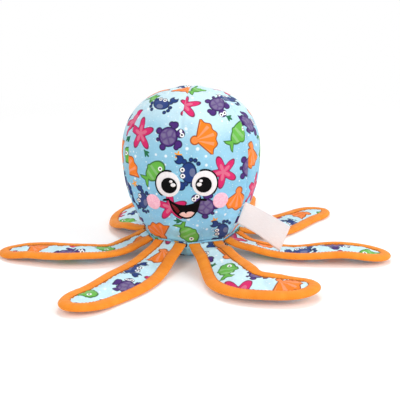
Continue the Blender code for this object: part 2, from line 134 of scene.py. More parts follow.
def closedSheet(name, outer, inner, places, material, cut=None):
    # outer and inner are grids of points, places their cloth coordinates in mm; cut is a column
    # and, for each row, how far the print is parted there
    mesh = bmesh.new()
    layer = mesh.loops.layers.uv.new("cloth")
    rows, columns = len(outer), len(outer[0])
    top = [[mesh.verts.new(p) for p in row] for row in outer]
    low = [[mesh.verts.new(p) for p in row] for row in inner]

    def addFace(corners):
        face = mesh.faces.new([sheet[j][i] for sheet, j, i in corners])
        side = -1 if cut and min(i for sheet, j, i in corners) < cut[0] else 1
        for loop, (sheet, j, i) in zip(face.loops, corners):
            parted = side * cut[1][j] if cut else 0
            across, down = places[j][i]
            loop[layer].uv = ((across + parted) / clothUnit, down / clothUnit)

    for j in range(rows - 1):
        for i in range(columns - 1):
            addFace([(top, j, i), (top, j, i + 1), (top, j + 1, i + 1), (top, j + 1, i)])
            addFace([(low, j, i), (low, j + 1, i), (low, j + 1, i + 1), (low, j, i + 1)])
    edge = [(0, i) for i in range(columns - 1)] + [(j, columns - 1) for j in range(rows - 1)]
    edge += [(rows - 1, i) for i in range(columns - 1, 0, -1)] + [(j, 0) for j in range(rows - 1, 0, -1)]
    for (j, i), (m, n) in zip(edge, edge[1:] + edge[:1]):
        addFace([(low, j, i), (low, m, n), (top, m, n), (top, j, i)])
    return finishPiece(name, mesh, material)


def closedRun(name, rings, places, material):
    # a closed section carried along a path, with a fan of faces at each end
    mesh = bmesh.new()
    layer = mesh.loops.layers.uv.new("cloth")
    made = [[mesh.verts.new(p) for p in ring] for ring in rings]
    count = len(rings[0])
    for j in range(len(rings) - 1):
        for i in range(count):
            k = (i + 1) % count
            face = mesh.faces.new((made[j][i], made[j][k], made[j + 1][k], made[j + 1][i]))
            corners = ((j, i), (j, i + 1), (j + 1, i + 1), (j + 1, i))
            for loop, (m, n) in zip(face.loops, corners):
                along, across = places[m][n % count]
                loop[layer].uv = (along / clothUnit, across / clothUnit)
    half = count // 2
    for end in (made[0], made[-1]):
        for i in range(half - 1):
            mesh.faces.new((end[i], end[i + 1], end[count - 2 - i], end[count - 1 - i]))
    return finishPiece(name, mesh, material)


def gridNormals(grid):
    p = np.array([[tuple(v) for v in row] for row in grid], float)
    down = np.gradient(p, axis=0)
    across = np.gradient(p, axis=1)
    n = np.cross(across, down)
    size = np.linalg.norm(n, axis=2, keepdims=True)
    n = np.divide(n, size, out=np.zeros_like(n), where=size > 1e-12)
    return p, n


def refine(p, axis):
    # doubles a grid along one axis with a four point curve through the points
    p = np.moveaxis(p, axis, 0)
    before = np.concatenate([2 * p[:1] - p[1:2], p[:-2]])
    after = np.concatenate([p[2:], 2 * p[-1:] - p[-2:-1]])
    middle = (9 * (p[:-1] + p[1:]) - before - after) / 16
    out = np.empty((len(p) * 2 - 1, *p.shape[1:]))
    out[::2], out[1::2] = p, middle
    return np.moveaxis(out, 0, axis)


def runCloth(points, faces, held, plan):
    # blows a cloth mesh up with its held points fixed, and returns where the points end up
    mesh = bpy.data.meshes.new("clothTrial")
    mesh.from_pydata([tuple(p) for p in points], [], faces)
    trial = addObject("clothTrial", mesh)
    group = trial.vertex_groups.new(name="held")
    for index, weight in held.items():
        group.add([index], weight, "REPLACE")
    cloth = trial.modifiers.new("cloth", "CLOTH")
    settings = cloth.settings
    settings.quality = plan["quality"]
    settings.mass = plan["mass"]
    settings.tension_stiffness = plan["stretch"]
    settings.compression_stiffness = plan["stretch"]
    settings.shear_stiffness = plan["shear"]
    settings.bending_stiffness = plan["bend"]
    settings.shrink_min = -plan["extraCloth"]
    settings.use_pressure = True
    settings.uniform_pressure_force = plan["pressure"]
    settings.vertex_group_mass = "held"
    settings.effector_weights.gravity = 0
    cloth.collision_settings.use_collision = False
    cloth.point_cache.frame_start = 1
    cloth.point_cache.frame_end = plan["frames"]
    for moment in range(1, plan["frames"] + 1):
        scene.frame_set(moment)
    evaluated = trial.evaluated_get(bpy.context.evaluated_depsgraph_get())
    result = np.array([tuple(v.co) for v in evaluated.data.vertices], float)
    bpy.data.objects.remove(trial)
    bpy.data.meshes.remove(mesh)
    scene.frame_set(1)
    return result


# Printed cloth: short plush, printed with rows of small sea animals

seaPrint = {
    "spacing": 34.0,        # mm between two animals in a row
    "growth": 1.22,         # how much larger the animals are printed than drawn below
    "wander": 2.4,          # mm over which an animal may lie off its place
    "fullTurn": 6.283,
    "animals": ["#62B240", "#D41A66", "#F57C0C", "#0E3478", "#451C72"],
    "bodyShade": 0.012,     # white in the middle of a body
    "markShade": 0.13,      # white in the lighter marks
    "outline": "#0A1520",
    "outlineShade": 0.68,   # how much of it darkens the animal's own colour
    "softRim": 0.25,        # mm, as ink has on pile
    "pupil": "#101014",
    "weed": "#1F6E48",
    "smallStar": "#F2A33A",
}


def makeSeaPrint():
    # fish, starfish, shells, crabs and turtles on a staggered grid, as signed distances in mm
    tree = bpy.data.node_groups.new("seaPrint", "ShaderNodeTree")
    for name, way, kind in (
        ("Place", "INPUT", "NodeSocketVector"),
        ("Ground", "INPUT", "NodeSocketColor"),
        ("Colour", "OUTPUT", "NodeSocketColor"),
    ):
        tree.interface.new_socket(name, in_out=way, socket_type=kind)
    start = addNode(tree, "NodeGroupInput")
    mathNode = "ShaderNodeMath"
    vectorNode = "ShaderNodeVectorMath"
    spacing = seaPrint["spacing"]

    def cell(shift):
        # the number of the square, and the place in it in mm from its middle
        share = addNode(tree, vectorNode, (start.outputs["Place"], (1 / spacing,) * 3),
                        operation="MULTIPLY")
        share = addNode(tree, vectorNode, (share, shift), operation="ADD")
        parts = addNode(tree, "ShaderNodeSeparateXYZ", (share,))
        row = addNode(tree, mathNode, (parts.outputs["Y"],), operation="FLOOR")
        odd = addNode(tree, mathNode, (row, 2.0), operation="FLOORED_MODULO")
        along = addNode(tree, mathNode, (odd, 0.5, parts.outputs["X"]), operation="MULTIPLY_ADD")
        column = addNode(tree, mathNode, (along,), operation="FLOOR")
        number = addNode(tree, "ShaderNodeCombineXYZ", (column, row, 0.0))
        moved = addNode(tree, "ShaderNodeCombineXYZ", (along, parts.outputs["Y"], 0.0))
        off = addNode(tree, vectorNode, (moved, number), operation="SUBTRACT")
        off = addNode(tree, vectorNode, (off, (0.5, 0.5, 0)), operation="SUBTRACT")
        off = addNode(tree, vectorNode, (off, (spacing, spacing, 0)), operation="MULTIPLY")
        return number, row, column, off

    def disc(place, x, y, radius):
        away = addNode(tree, vectorNode, (place, (x, y, 0)), operation="DISTANCE")
        return addNode(tree, mathNode, (away.outputs["Value"], radius), operation="SUBTRACT")

    def joined(shapes, operation="MINIMUM"):
        whole = shapes[0]
        for shape in shapes[1:]:
            whole = addNode(tree, mathNode, (whole, shape), operation=operation)
        return whole

    number, row, column, off = cell((0, 0, 0))
    chance = addNode(tree, "ShaderNodeTexWhiteNoise", (number,), noise_dimensions="3D")
    dice = addNode(tree, "ShaderNodeSeparateColor", (chance.outputs["Color"],))
    shift = addNode(tree, vectorNode, (chance.outputs["Color"], (0.5, 0.5, 0.5)), operation="SUBTRACT")
    shift = addNode(tree, vectorNode, (shift, (seaPrint["wander"], seaPrint["wander"], 0)),
                    operation="MULTIPLY")
    off = addNode(tree, vectorNode, (off, shift), operation="ADD")
    turn = addNode(tree, mathNode, (dice.outputs[1], seaPrint["fullTurn"]), operation="MULTIPLY")
    turned = addNode(tree, "ShaderNodeVectorRotate", {"Vector": off, "Angle": turn},
                     rotation_type="Z_AXIS")
    turned = addNode(tree, vectorNode, (turned, (1 / seaPrint["growth"],) * 3), operation="MULTIPLY")
    xy = addNode(tree, "ShaderNodeSeparateXYZ", (turned,))
    mirrored = addNode(tree, vectorNode, (turned,), operation="ABSOLUTE")
    sides = addNode(tree, "ShaderNodeSeparateXYZ", (mirrored,))
    mirrored = addNode(tree, "ShaderNodeCombineXYZ", (sides.outputs["X"], xy.outputs["Y"], 0.0))
    radius = addNode(tree, vectorNode, (turned,), operation="LENGTH").outputs["Value"]
    angle = addNode(tree, mathNode, (xy.outputs["Y"], xy.outputs["X"]), operation="ARCTAN2")

    # fish, and like all the animals drawn in mm about the middle of its square
    long = addNode(tree, vectorNode, (turned, (0.66, 1, 1)), operation="MULTIPLY")
    tailSide = addNode(tree, mathNode, (xy.outputs["X"], 0.9, sides.outputs["Y"]), operation="MULTIPLY_ADD")
    tailSide = addNode(tree, mathNode, (tailSide, 5.6), operation="ADD")
    tailEnd = addNode(tree, mathNode, (xy.outputs["X"], -1.0, -13.2), operation="MULTIPLY_ADD")
    tailNotch = addNode(tree, mathNode, (sides.outputs["Y"], -0.5, tailEnd), operation="MULTIPLY_ADD")
    tailNotch = addNode(tree, mathNode, (tailNotch, 1.8), operation="ADD")
    fishBody = joined([
        disc(long, 0.9, 0, 6.6), disc(turned, 0.6, 5.4, 3.0), disc(turned, -0.5, -5.2, 2.2),
        joined([tailSide, tailEnd, tailNotch], "MAXIMUM"),
    ])
    stripes = addNode(tree, mathNode, (xy.outputs["X"], 1.15), operation="MULTIPLY")
    stripes = addNode(tree, mathNode, (stripes,), operation="SINE")
    stripes = addNode(tree, mathNode, (0.35, stripes), operation="SUBTRACT")
    gill = addNode(tree, mathNode, (xy.outputs["X"], 3.6), operation="SUBTRACT")
    fishMark = joined([stripes, gill, disc(long, 0.9, 0, 5.6)], "MAXIMUM")
    fishEye = addNode(tree, vectorNode, (turned, (6.4, 1.4, 0)), operation="DISTANCE").outputs["Value"]

    # starfish
    points = addNode(tree, mathNode, (angle, 5.0), operation="MULTIPLY")
    points = addNode(tree, mathNode, (points,), operation="COSINE")
    starReach = addNode(tree, mathNode, (points, 4.0, 9.2), operation="MULTIPLY_ADD")
    starBody = addNode(tree, mathNode, (radius, starReach), operation="SUBTRACT")
    starBody = addNode(tree, mathNode, (starBody, 0.7), operation="MULTIPLY")
    markReach = addNode(tree, mathNode, (points, 2.6, 4.4), operation="MULTIPLY_ADD")
    starMark = addNode(tree, mathNode, (radius, markReach), operation="SUBTRACT")

    # scallop shell
    fan = addNode(tree, vectorNode, (turned, (0, 9, 0)), operation="ADD")
    fanXY = addNode(tree, "ShaderNodeSeparateXYZ", (fan,))
    fanAngle = addNode(tree, mathNode, (fanXY.outputs["X"], fanXY.outputs["Y"]), operation="ARCTAN2")
    fanReach = addNode(tree, vectorNode, (fan,), operation="LENGTH").outputs["Value"]
    ribs = addNode(tree, mathNode, (fanAngle, 13.0), operation="MULTIPLY")
    ribs = addNode(tree, mathNode, (ribs,), operation="COSINE")
    lip = addNode(tree, mathNode, (ribs, 0.8, 17.2), operation="MULTIPLY_ADD")
    lip = addNode(tree, mathNode, (fanReach, lip), operation="SUBTRACT")
    fanSide = addNode(tree, mathNode, (fanAngle,), operation="ABSOLUTE")
    fanSide = addNode(tree, mathNode, (fanSide, 0.98), operation="SUBTRACT")
    fanSide = addNode(tree, mathNode, (fanSide, fanReach), operation="MULTIPLY")
    shellBody = joined([joined([lip, fanSide], "MAXIMUM"), disc(turned, 0, -9, 3.4)])
    ribMark = addNode(tree, mathNode, (0.45, ribs), operation="SUBTRACT")
    shellMark = joined([ribMark, disc(fan, 0, 0, 15.2)], "MAXIMUM")

    # crab
    wide = addNode(tree, vectorNode, (turned, (0.7, 1, 1)), operation="MULTIPLY")
    claw = joined([disc(mirrored, 10.4, 6.4, 3.5), addNode(
        tree, mathNode, (disc(mirrored, 11.4, 9.4, 2.0), -1.0), operation="MULTIPLY")], "MAXIMUM")
    crabBody = joined([
        disc(wide, 0, -0.6, 5.7), claw, disc(mirrored, 8.6, 2.4, 1.9), disc(mirrored, 9.8, -2.8, 1.5),
        disc(mirrored, 9.2, -5.9, 1.4), disc(mirrored, 6.6, -8.2, 1.4), disc(mirrored, 2.4, 4.4, 1.9),
    ])
    crabMark = disc(wide, 0, -3.4, 2.3)
    crabEye = addNode(tree, vectorNode, (mirrored, (2.4, 4.2, 0)), operation="DISTANCE").outputs["Value"]

    # turtle
    turtleBody = joined([
        disc(turned, 0, -0.6, 7.5), disc(turned, 0, 9.6, 3.5), disc(mirrored, 7.6, 5.6, 2.9),
        disc(mirrored, 9.4, 3.4, 1.9), disc(mirrored, 6.4, -7.0, 2.4), disc(turned, 0, -9.2, 1.3),
    ])
    plates = addNode(tree, "ShaderNodeTexVoronoi", {"Vector": turned, "Scale": 0.2, "Randomness": 0.55},
                     feature="DISTANCE_TO_EDGE", voronoi_dimensions="2D")
    plateMark = addNode(tree, mathNode, (0.09, plates.outputs["Distance"]), operation="SUBTRACT")
    turtleMark = joined([plateMark, disc(turned, 0, -0.6, 6.1)], "MAXIMUM")
    turtleEye = addNode(tree, vectorNode, (mirrored, (1.7, 10.4, 0)), operation="DISTANCE").outputs["Value"]

    kind = addNode(tree, mathNode, (row, 2.0, column), operation="MULTIPLY_ADD")
    kind = addNode(tree, mathNode, (kind, 5.0), operation="FLOORED_MODULO")
    chosen = addNode(tree, "ShaderNodeCombineXYZ", (fishBody, fishMark, fishEye))
    for k, fields in enumerate((
        (crabBody, crabMark, crabEye), (starBody, starMark, 99.0),
        (turtleBody, turtleMark, turtleEye), (shellBody, shellMark, 99.0),
    )):
        other = addNode(tree, "ShaderNodeCombineXYZ", fields)
        same = addNode(tree, mathNode, (kind, k + 1.0, 0.5), operation="COMPARE")
        chosen = addNode(tree, "ShaderNodeMix", {0: same, 4: chosen, 5: other},
                         data_type="VECTOR").outputs[1]
    fields = addNode(tree, "ShaderNodeSeparateXYZ", (chosen,))

    colourNumber = addNode(tree, mathNode, (column, 3.0, row), operation="MULTIPLY_ADD")
    colourNumber = addNode(tree, mathNode, (colourNumber, 5.0), operation="FLOORED_MODULO")
    colourNumber = addNode(tree, mathNode, (colourNumber, 0.2, 0.1), operation="MULTIPLY_ADD")
    ramp = addNode(tree, "ShaderNodeValToRGB", (colourNumber,))
    ramp.color_ramp.interpolation = "CONSTANT"
    stops = ramp.color_ramp.elements
    while len(stops) < len(seaPrint["animals"]):
        stops.new(1)
    for k, colour in enumerate(seaPrint["animals"]):
        stops[k].position = k / len(seaPrint["animals"])
        stops[k].color = linear(colour)
    shade = addNode(tree, "ShaderNodeMapRange", (radius, 2.0, 14.0, seaPrint["bodyShade"], 0.0))
    body, outline, mark = [
        addNode(tree, "ShaderNodeMix", {0: share, 6: ramp, 7: linear(other)}, data_type="RGBA").outputs[2]
        for share, other in ((shade, white), (seaPrint["outlineShade"], seaPrint["outline"]),
                             (seaPrint["markShade"], white))]

    def layer(under, over, distance, edge, soft=seaPrint["softRim"], strength=1.0):
        # over shows where the distance is below the edge
        amount = addNode(tree, "ShaderNodeMapRange", (distance, edge - soft, edge + soft, strength, 0.0))
        return addNode(tree, "ShaderNodeMix", {0: amount, 6: under, 7: over}, data_type="RGBA").outputs[2]

    # bubbles and specks in the ground
    colour = start.outputs["Ground"]
    for scale, least, most, strength in ((1 / 9.5, -0.10, 0.17, 0.75), (1 / 4.6, -0.10, 0.13, 0.55)):
        spots = addNode(tree, "ShaderNodeTexVoronoi", {"Vector": start.outputs["Place"], "Scale": scale},
                        voronoi_dimensions="2D")
        pick = addNode(tree, "ShaderNodeSeparateColor", (spots.outputs["Color"],))
        size = addNode(tree, "ShaderNodeMapRange", (pick.outputs[0], 0.0, 1.0, least, most))
        near = addNode(tree, mathNode, (spots.outputs["Distance"], size), operation="SUBTRACT")
        colour = layer(colour, linear(white), near, 0.0, 0.05, strength)

    # sprigs of weed and little stars between the animals
    number2, row2, column2, off2 = cell((0.25, 0.5, 0))
    chance2 = addNode(tree, "ShaderNodeTexWhiteNoise", (number2,), noise_dimensions="3D")
    turn2 = addNode(tree, mathNode, (chance2.outputs["Value"], seaPrint["fullTurn"]), operation="MULTIPLY")
    small = addNode(tree, "ShaderNodeVectorRotate", {"Vector": off2, "Angle": turn2},
                    rotation_type="Z_AXIS")
    smallXY = addNode(tree, "ShaderNodeSeparateXYZ", (small,))
    smallSide = addNode(tree, mathNode, (smallXY.outputs["X"],), operation="ABSOLUTE")
    pair = addNode(tree, "ShaderNodeCombineXYZ", (smallSide, smallXY.outputs["Y"], 0.0))
    leaves = []
    for lean, height, thin, reach in ((0.0, 1.6, 3.4, 4.4), (0.75, 0.9, 3.0, 3.9)):
        leaf = addNode(tree, "ShaderNodeVectorRotate", {"Vector": pair, "Angle": lean},
                       rotation_type="Z_AXIS")
        leaf = addNode(tree, vectorNode, (leaf, (0, height, 0)), operation="SUBTRACT")
        leaf = addNode(tree, vectorNode, (leaf, (thin, 1, 1)), operation="MULTIPLY")
        leaves.append(disc(leaf, 0, 0, reach))
    weed = joined(leaves)
    smallRadius = addNode(tree, vectorNode, (small,), operation="LENGTH").outputs["Value"]
    smallAngle = addNode(tree, mathNode, (smallXY.outputs["Y"], smallXY.outputs["X"]), operation="ARCTAN2")
    smallAngle = addNode(tree, mathNode, (smallAngle, 5.0), operation="MULTIPLY")
    smallPoints = addNode(tree, mathNode, (smallAngle,), operation="COSINE")
    smallReach = addNode(tree, mathNode, (smallPoints, 1.2, 2.7), operation="MULTIPLY_ADD")
    tiny = addNode(tree, mathNode, (smallRadius, smallReach), operation="SUBTRACT")
    which = addNode(tree, mathNode, (row2, 2.0, column2), operation="MULTIPLY_ADD")
    which = addNode(tree, mathNode, (which, 5.0), operation="FLOORED_MODULO")
    notWeed = addNode(tree, mathNode, (which, 0.5), operation="GREATER_THAN")
    notStar = addNode(tree, mathNode, (which, 1.0, 0.5), operation="COMPARE")
    notStar = addNode(tree, mathNode, (1.0, notStar), operation="SUBTRACT")
    weed = addNode(tree, mathNode, (notWeed, 9.0, weed), operation="MULTIPLY_ADD")
    tiny = addNode(tree, mathNode, (notStar, 9.0, tiny), operation="MULTIPLY_ADD")
    colour = layer(colour, linear(seaPrint["weed"]), weed, 0.0)
    colour = layer(colour, linear(seaPrint["smallStar"]), tiny, 0.0)

    colour = layer(colour, outline, fields.outputs["X"], 0.35)
    colour = layer(colour, body, fields.outputs["X"], -0.55)
    inside = joined([fields.outputs["Y"], addNode(
        tree, mathNode, (fields.outputs["X"], 0.9), operation="ADD")], "MAXIMUM")
    colour = layer(colour, mark, inside, 0.0, 0.2)
    colour = layer(colour, linear(white), fields.outputs["Z"], 1.75)
    colour = layer(colour, linear(seaPrint["pupil"]), fields.outputs["Z"], 0.85)
    addNode(tree, "NodeGroupOutput", (colour,))
    return tree


seaPrintTree = makeSeaPrint()

plush = {
    "pilePitch": 1.5,       # mm, the pile's tufts are finer, drawn this coarse so that they show
    "pileDepth": 0.35 * mm,
    "roughness": 0.86,
    "roughSpread": 0.06,
    # the head's ground by height carries painted light: paler towards the crown as a painted highlight, and
    # lighter low down to lift the shade there
    "headGroundsPaintedLight": {        # the ground's colour by height in mm
        20: "#A6EAFF", 48: "#8CCBEE", 85: "#86C2DE", 125: "#9FCEE3", 163: "#CBE6F0"},
    "armGrounds": {0: "#C6E8F2", 60: "#DAF0F6"},
    "cheek": "#FFCBDA",
    "cheekHollowShade": "#F3AFC8",
}


def printedPlush(name, grounds):
    # short pile polyester plush, knitted and sheared: dull, soft edged, a faint bloom at grazing angles
    material, tree, shader = newMaterial(name)
    where = addNode(tree, "ShaderNodeTexCoord").outputs["Object"]
    height = addNode(tree, "ShaderNodeSeparateXYZ", (where,)).outputs["Z"]
    # the ground's colour follows the height; on the head this paints light and shade into it
    low, high = min(grounds), max(grounds)
    fade = addNode(tree, "ShaderNodeMapRange", (height, low * mm, high * mm, 0.0, 1.0))
    cloud = addNode(tree, "ShaderNodeTexNoise", {"Vector": where, "Scale": 24.0, "Detail": 2.0})
    cloud = addNode(tree, "ShaderNodeMapRange", (cloud.outputs[0], 0.35, 0.7, -0.08, 0.14))
    fade = addNode(tree, "ShaderNodeMath", (fade, cloud), operation="ADD", use_clamp=True)
    soft = addNode(tree, "ShaderNodeValToRGB", (fade,))
    stops = soft.color_ramp.elements
    while len(stops) < len(grounds):
        stops.new(1)
    for k, (level, colour) in enumerate(grounds.items()):
        stops[k].position = (level - low) / (high - low)
        stops[k].color = linear(colour)
    printed = addNode(tree, "ShaderNodeGroup", node_tree=seaPrintTree)
    setInputs(tree, printed, {"Place": clothPlace(tree), "Ground": soft})
    tufts = addNode(tree, "ShaderNodeTexNoise", {
        "Vector": where, "Scale": 1 / (plush["pilePitch"] * mm), "Detail": 2.0, "Roughness": 0.6})
    nap = addNode(tree, "ShaderNodeTexNoise", {"Vector": where, "Scale": 90.0, "Detail": 3.0})
    lay = addNode(tree, "ShaderNodeMath", (tufts.outputs[0], nap.outputs[0]), operation="ADD")
    # painted shade and highlight in the pile: darker where its bump is low, lighter where it is high, over
    # a random tone
    dim = addNode(tree, "ShaderNodeMapRange", (lay, 0.6, 1.4, 0.9, 1.06))
    shaded = addNode(tree, "ShaderNodeVectorMath", (printed.outputs[0], dim), operation="MULTIPLY")
    bump = addNode(tree, "ShaderNodeBump", {
        "Strength": 0.5, "Distance": plush["pileDepth"], "Height": lay})
    middle, spread = plush["roughness"], plush["roughSpread"]
    rough = addNode(tree, "ShaderNodeMapRange", (lay, 0.6, 1.4, middle + spread, middle - spread))
    setInputs(tree, shader, {
        "Base Color": shaded, "Roughness": rough, "Normal": bump, "Sheen Weight": 0.12,
        "Sheen Roughness": 0.5, "Specular IOR Level": 0.25})
    return material


headPlush = printedPlush("printedPlushBlue", plush["headGroundsPaintedLight"])
armPlush = printedPlush("printedPlushPale", plush["armGrounds"])
print("printed plush made")

# Head: three panels and a gathered base, stuffed, sewn at the sides, the back and the crown

head = {
    "radius": 70 * mm,
    "centreHeight": 100 * mm,
    "domeHeight": 65.5 * mm,
    "domeFullness": 2.25,         # 2 is an ellipse, more has broader shoulders
    "bodyFullness": 2.4,          # how quickly the body fills out above the seam
    "edgeHeight": 19.7 * mm,
    "seamHeight": 17 * mm,
    "seamRadius": 45 * mm,        # across the flats of the eight-sided seam
    "roundingHeight": 30 * mm,
    "middleHeight": 85 * mm,      # the cloth is blown up away from here
    "frontHalf": math.radians(57),
    "frontColumns": 42,
    "backColumns": 45,
    "rowsBelow": 27,
    "rowsAbove": 35,
    "clothThickness": 1.2 * mm,
    "startInset": 2.2 * mm,       # the cloth starts this much smaller and is blown up
    "mostMove": 2.0 * mm,         # outwards
    "mostSlide": 0.8 * mm,        # and sideways
    "easeColumns": 4,             # beside a seam, over which the cloth is drawn in
    "easeRows": 5,                # below the crown
    "turnIn": 0.8 * mm,           # between the cloth's edge and where it is turned in
    "grooveDepth": 1.8 * mm,      # of the seams
    "grooveWidth": 2.6 * mm,
    "puckerDepth": 0.5 * mm,      # beside them
    "puckerPitch": 7.0 * mm,
    "puckerReach": 9.0 * mm,
    "puckerStart": 2.0 * mm,
    "puckerGirth": 60 * mm,       # of a panel, under which its puckers fade out
    "foldDepth": 0.45 * mm,       # soft folds that rise from the lower edge
    "foldPitch": 11.05 * mm,
    "foldReach": 12 * mm,
    "foldStart": 3.0 * mm,
    "hemDepth": 0.8 * mm,         # the lower edge turns in
    "hemReach": 2.5 * mm,
    "dartColumn": 39,
    "dartTop": 165 * mm,
    "dartEnd": 128 * mm,          # the height that the dart from the crown comes down to
    "dartDepth": 1.0 * mm,
    "dartWidth": 1.5 * mm,
    "dartCloth": 8.0,             # mm of cloth taken in on each side at the crown
    "fill": 0.85,
}
headCloth = {"quality": 6, "mass": 0.2, "stretch": 18, "shear": 8, "bend": 0.6,
             "extraCloth": 0.012, "pressure": 2.2, "frames": 16}
base = {
    "flatRadius": 30 * mm,
    "edgeHeight": 14.3 * mm,
    "rows": 8,
    "flatRows": 9,
    "seamDepth": 7.5 * mm,
    "clothThickness": 1.1 * mm,
    "gathers": 44,
    "gatherDepth": 0.5 * mm,
    "gatherShare": 0.45,          # of the rows, over which the gathers flatten out
    "gatherCentre": 20 * mm,      # height of the point that they are drawn in towards
    "printStart": (4.1, 0.45),
    "fill": 0.7,
}
seamRoll = {
    "count": 192,
    "section": [(0.0, 2.7), (0.35, 1.6), (0.9, 0.35), (0.9, -0.35), (0.35, -1.6), (0.0, -2.7),
                (3.0, -2.5), (7.0, -2.2), (7.0, 2.2), (3.0, 2.5)],    # mm in from the seam and up
    "gap": 0.3,                   # mm to the arms' roots
    "gathers": 56,
    "gatherDepth": 0.25,          # mm
    "printGirth": 2.83,
    "printStart": 6.2,
    "printStep": 0.012,
}
sideAngle = math.pi / 4


def seamShare(angle):
    return 1 / math.cos((angle % sideAngle) - sideAngle / 2)


def headRadius(height):
    if height >= head["centreHeight"]:
        rise = min((height - head["centreHeight"]) / head["domeHeight"], 1)
        return head["radius"] * (1 - rise ** head["domeFullness"]) ** (1 / head["domeFullness"])
    share = (height - head["edgeHeight"]) / (head["centreHeight"] - head["edgeHeight"])
    return head["radius"] - (head["radius"] - head["seamRadius"]) * (1 - share) ** head["bodyFullness"]


def headPoint(angle, height):
    corner = 1 - smooth((height - head["edgeHeight"]) / head["roundingHeight"])
    stretch = 1 + (seamShare(angle) - 1) * corner
    return around(angle, headRadius(height) * stretch, height)


def basePoint(angle, turn):
    reach = (head["seamRadius"] - base["flatRadius"]) * math.cos(turn)
    stretch = 1 + (seamShare(angle) - 1) * math.cos(turn)
    return around(angle, (base["flatRadius"] + reach) * stretch, base["edgeHeight"] * (1 - math.sin(turn)))


def headHeights():
    below = [head["edgeHeight"] + (head["centreHeight"] - head["edgeHeight"]) * j / head["rowsBelow"]
             for j in range(head["rowsBelow"])]
    above = [head["centreHeight"] + head["domeHeight"] * math.sin(math.pi / 2 * j / head["rowsAbove"])
             for j in range(head["rowsAbove"])]
    return below + above


def columnAngles():
    half = head["frontHalf"]
    front = [-half + 2 * half * i / head["frontColumns"] for i in range(head["frontColumns"])]
    right = [half + (math.pi - half) * i / head["backColumns"] for i in range(head["backColumns"])]
    left = [math.pi + (math.pi - half) * i / head["backColumns"] for i in range(head["backColumns"])]
    return front + right + left


def stuffHead():
    # one closed shell, from the crown down and round under the base, held along its seams
    heights, angles = headHeights(), columnAngles()
    count = len(angles)
    rows = [[around(0, 0, head["centreHeight"] + head["domeHeight"])] * count]
    rows += [[headPoint(a, h) for a in angles] for h in reversed(heights)]
    headRows = len(rows)
    inner = head["seamRadius"] - base["seamDepth"]
    for height in (head["edgeHeight"] - head["turnIn"], base["edgeHeight"] + head["turnIn"]):
        rows.append([around(a, inner, height) for a in angles])
    for j in range(base["rows"] + 1):
        rows.append([basePoint(a, math.pi / 2 * j / base["rows"]) for a in angles])
    for j in range(1, base["flatRows"] + 1):
        share = 1 - j / base["flatRows"]
        rows.append([around(a, base["flatRadius"] * share, 0) for a in angles])
    target = np.array([[tuple(p) for p in row] for row in rows], float)
    middle = np.array([0, 0, head["middleHeight"]])
    spare = target - middle
    start = target - spare / np.linalg.norm(spare, axis=2, keepdims=True) * head["startInset"]
    last = len(rows) - 1
    # the crown and the middle of the base are one point each
    points = [start[0, 0]] + [p for row in start[1:last] for p in row] + [start[last, 0]]

    def number(j, i):
        if j == 0:
            return 0
        if j == last:
            return len(points) - 1
        return 1 + (j - 1) * count + i % count

    faces = []
    for j in range(last):
        for i in range(count):
            corners = [number(j, i), number(j + 1, i), number(j + 1, i + 1), number(j, i + 1)]
            faces.append(tuple(dict.fromkeys(corners)))
    seams = (0, head["frontColumns"], head["frontColumns"] + head["backColumns"])
    held = {}
    for j in range(len(rows)):
        for i in range(count):
            atSeam = i in seams and j < headRows
            onFloor = j >= headRows + 2 + base["rows"]
            atEdge = headRows - 1 <= j <= headRows + 2
            if atSeam or atEdge or onFloor:
                held[number(j, i)] = 1.0
    held[0] = 1.0
    ended = runCloth(points, faces, held, headCloth)
    grid = np.array([[ended[number(j, i)] for i in range(count)] for j in range(len(rows))])
    # what is held goes back to its place, and the rest moves only so far
    outward = spare / np.linalg.norm(spare, axis=2, keepdims=True)
    move = grid - target
    along = (move * outward).sum(axis=2, keepdims=True)
    sideways = move - along * outward
    along = np.clip(along, -head["mostMove"], head["mostMove"])
    # close to a seam the cloth is drawn in evenly
    ease = np.ones((len(rows), count, 1))
    for j in range(len(rows)):
        for i in range(count):
            away = min(min(abs(i - k), count - abs(i - k)) for k in seams)
            ease[j, i] = smooth(away / head["easeColumns"]) * smooth(j / head["easeRows"])
    sideways = np.clip(sideways, -head["mostSlide"], head["mostSlide"])
    grid = target + (along * outward + sideways) * ease
    for j in range(len(rows)):
        for i in range(count):
            if number(j, i) in held:
                grid[j, i] = target[j, i]
    grid[:, :, 2] = np.maximum(grid[:, :, 2], 0.0)
    print("head stuffed, cloth moved out by up to", round(float(np.abs(along).max()) * 1000, 2), "mm")
    return grid, headRows, angles


stuffed, headRows, angles = stuffHead()


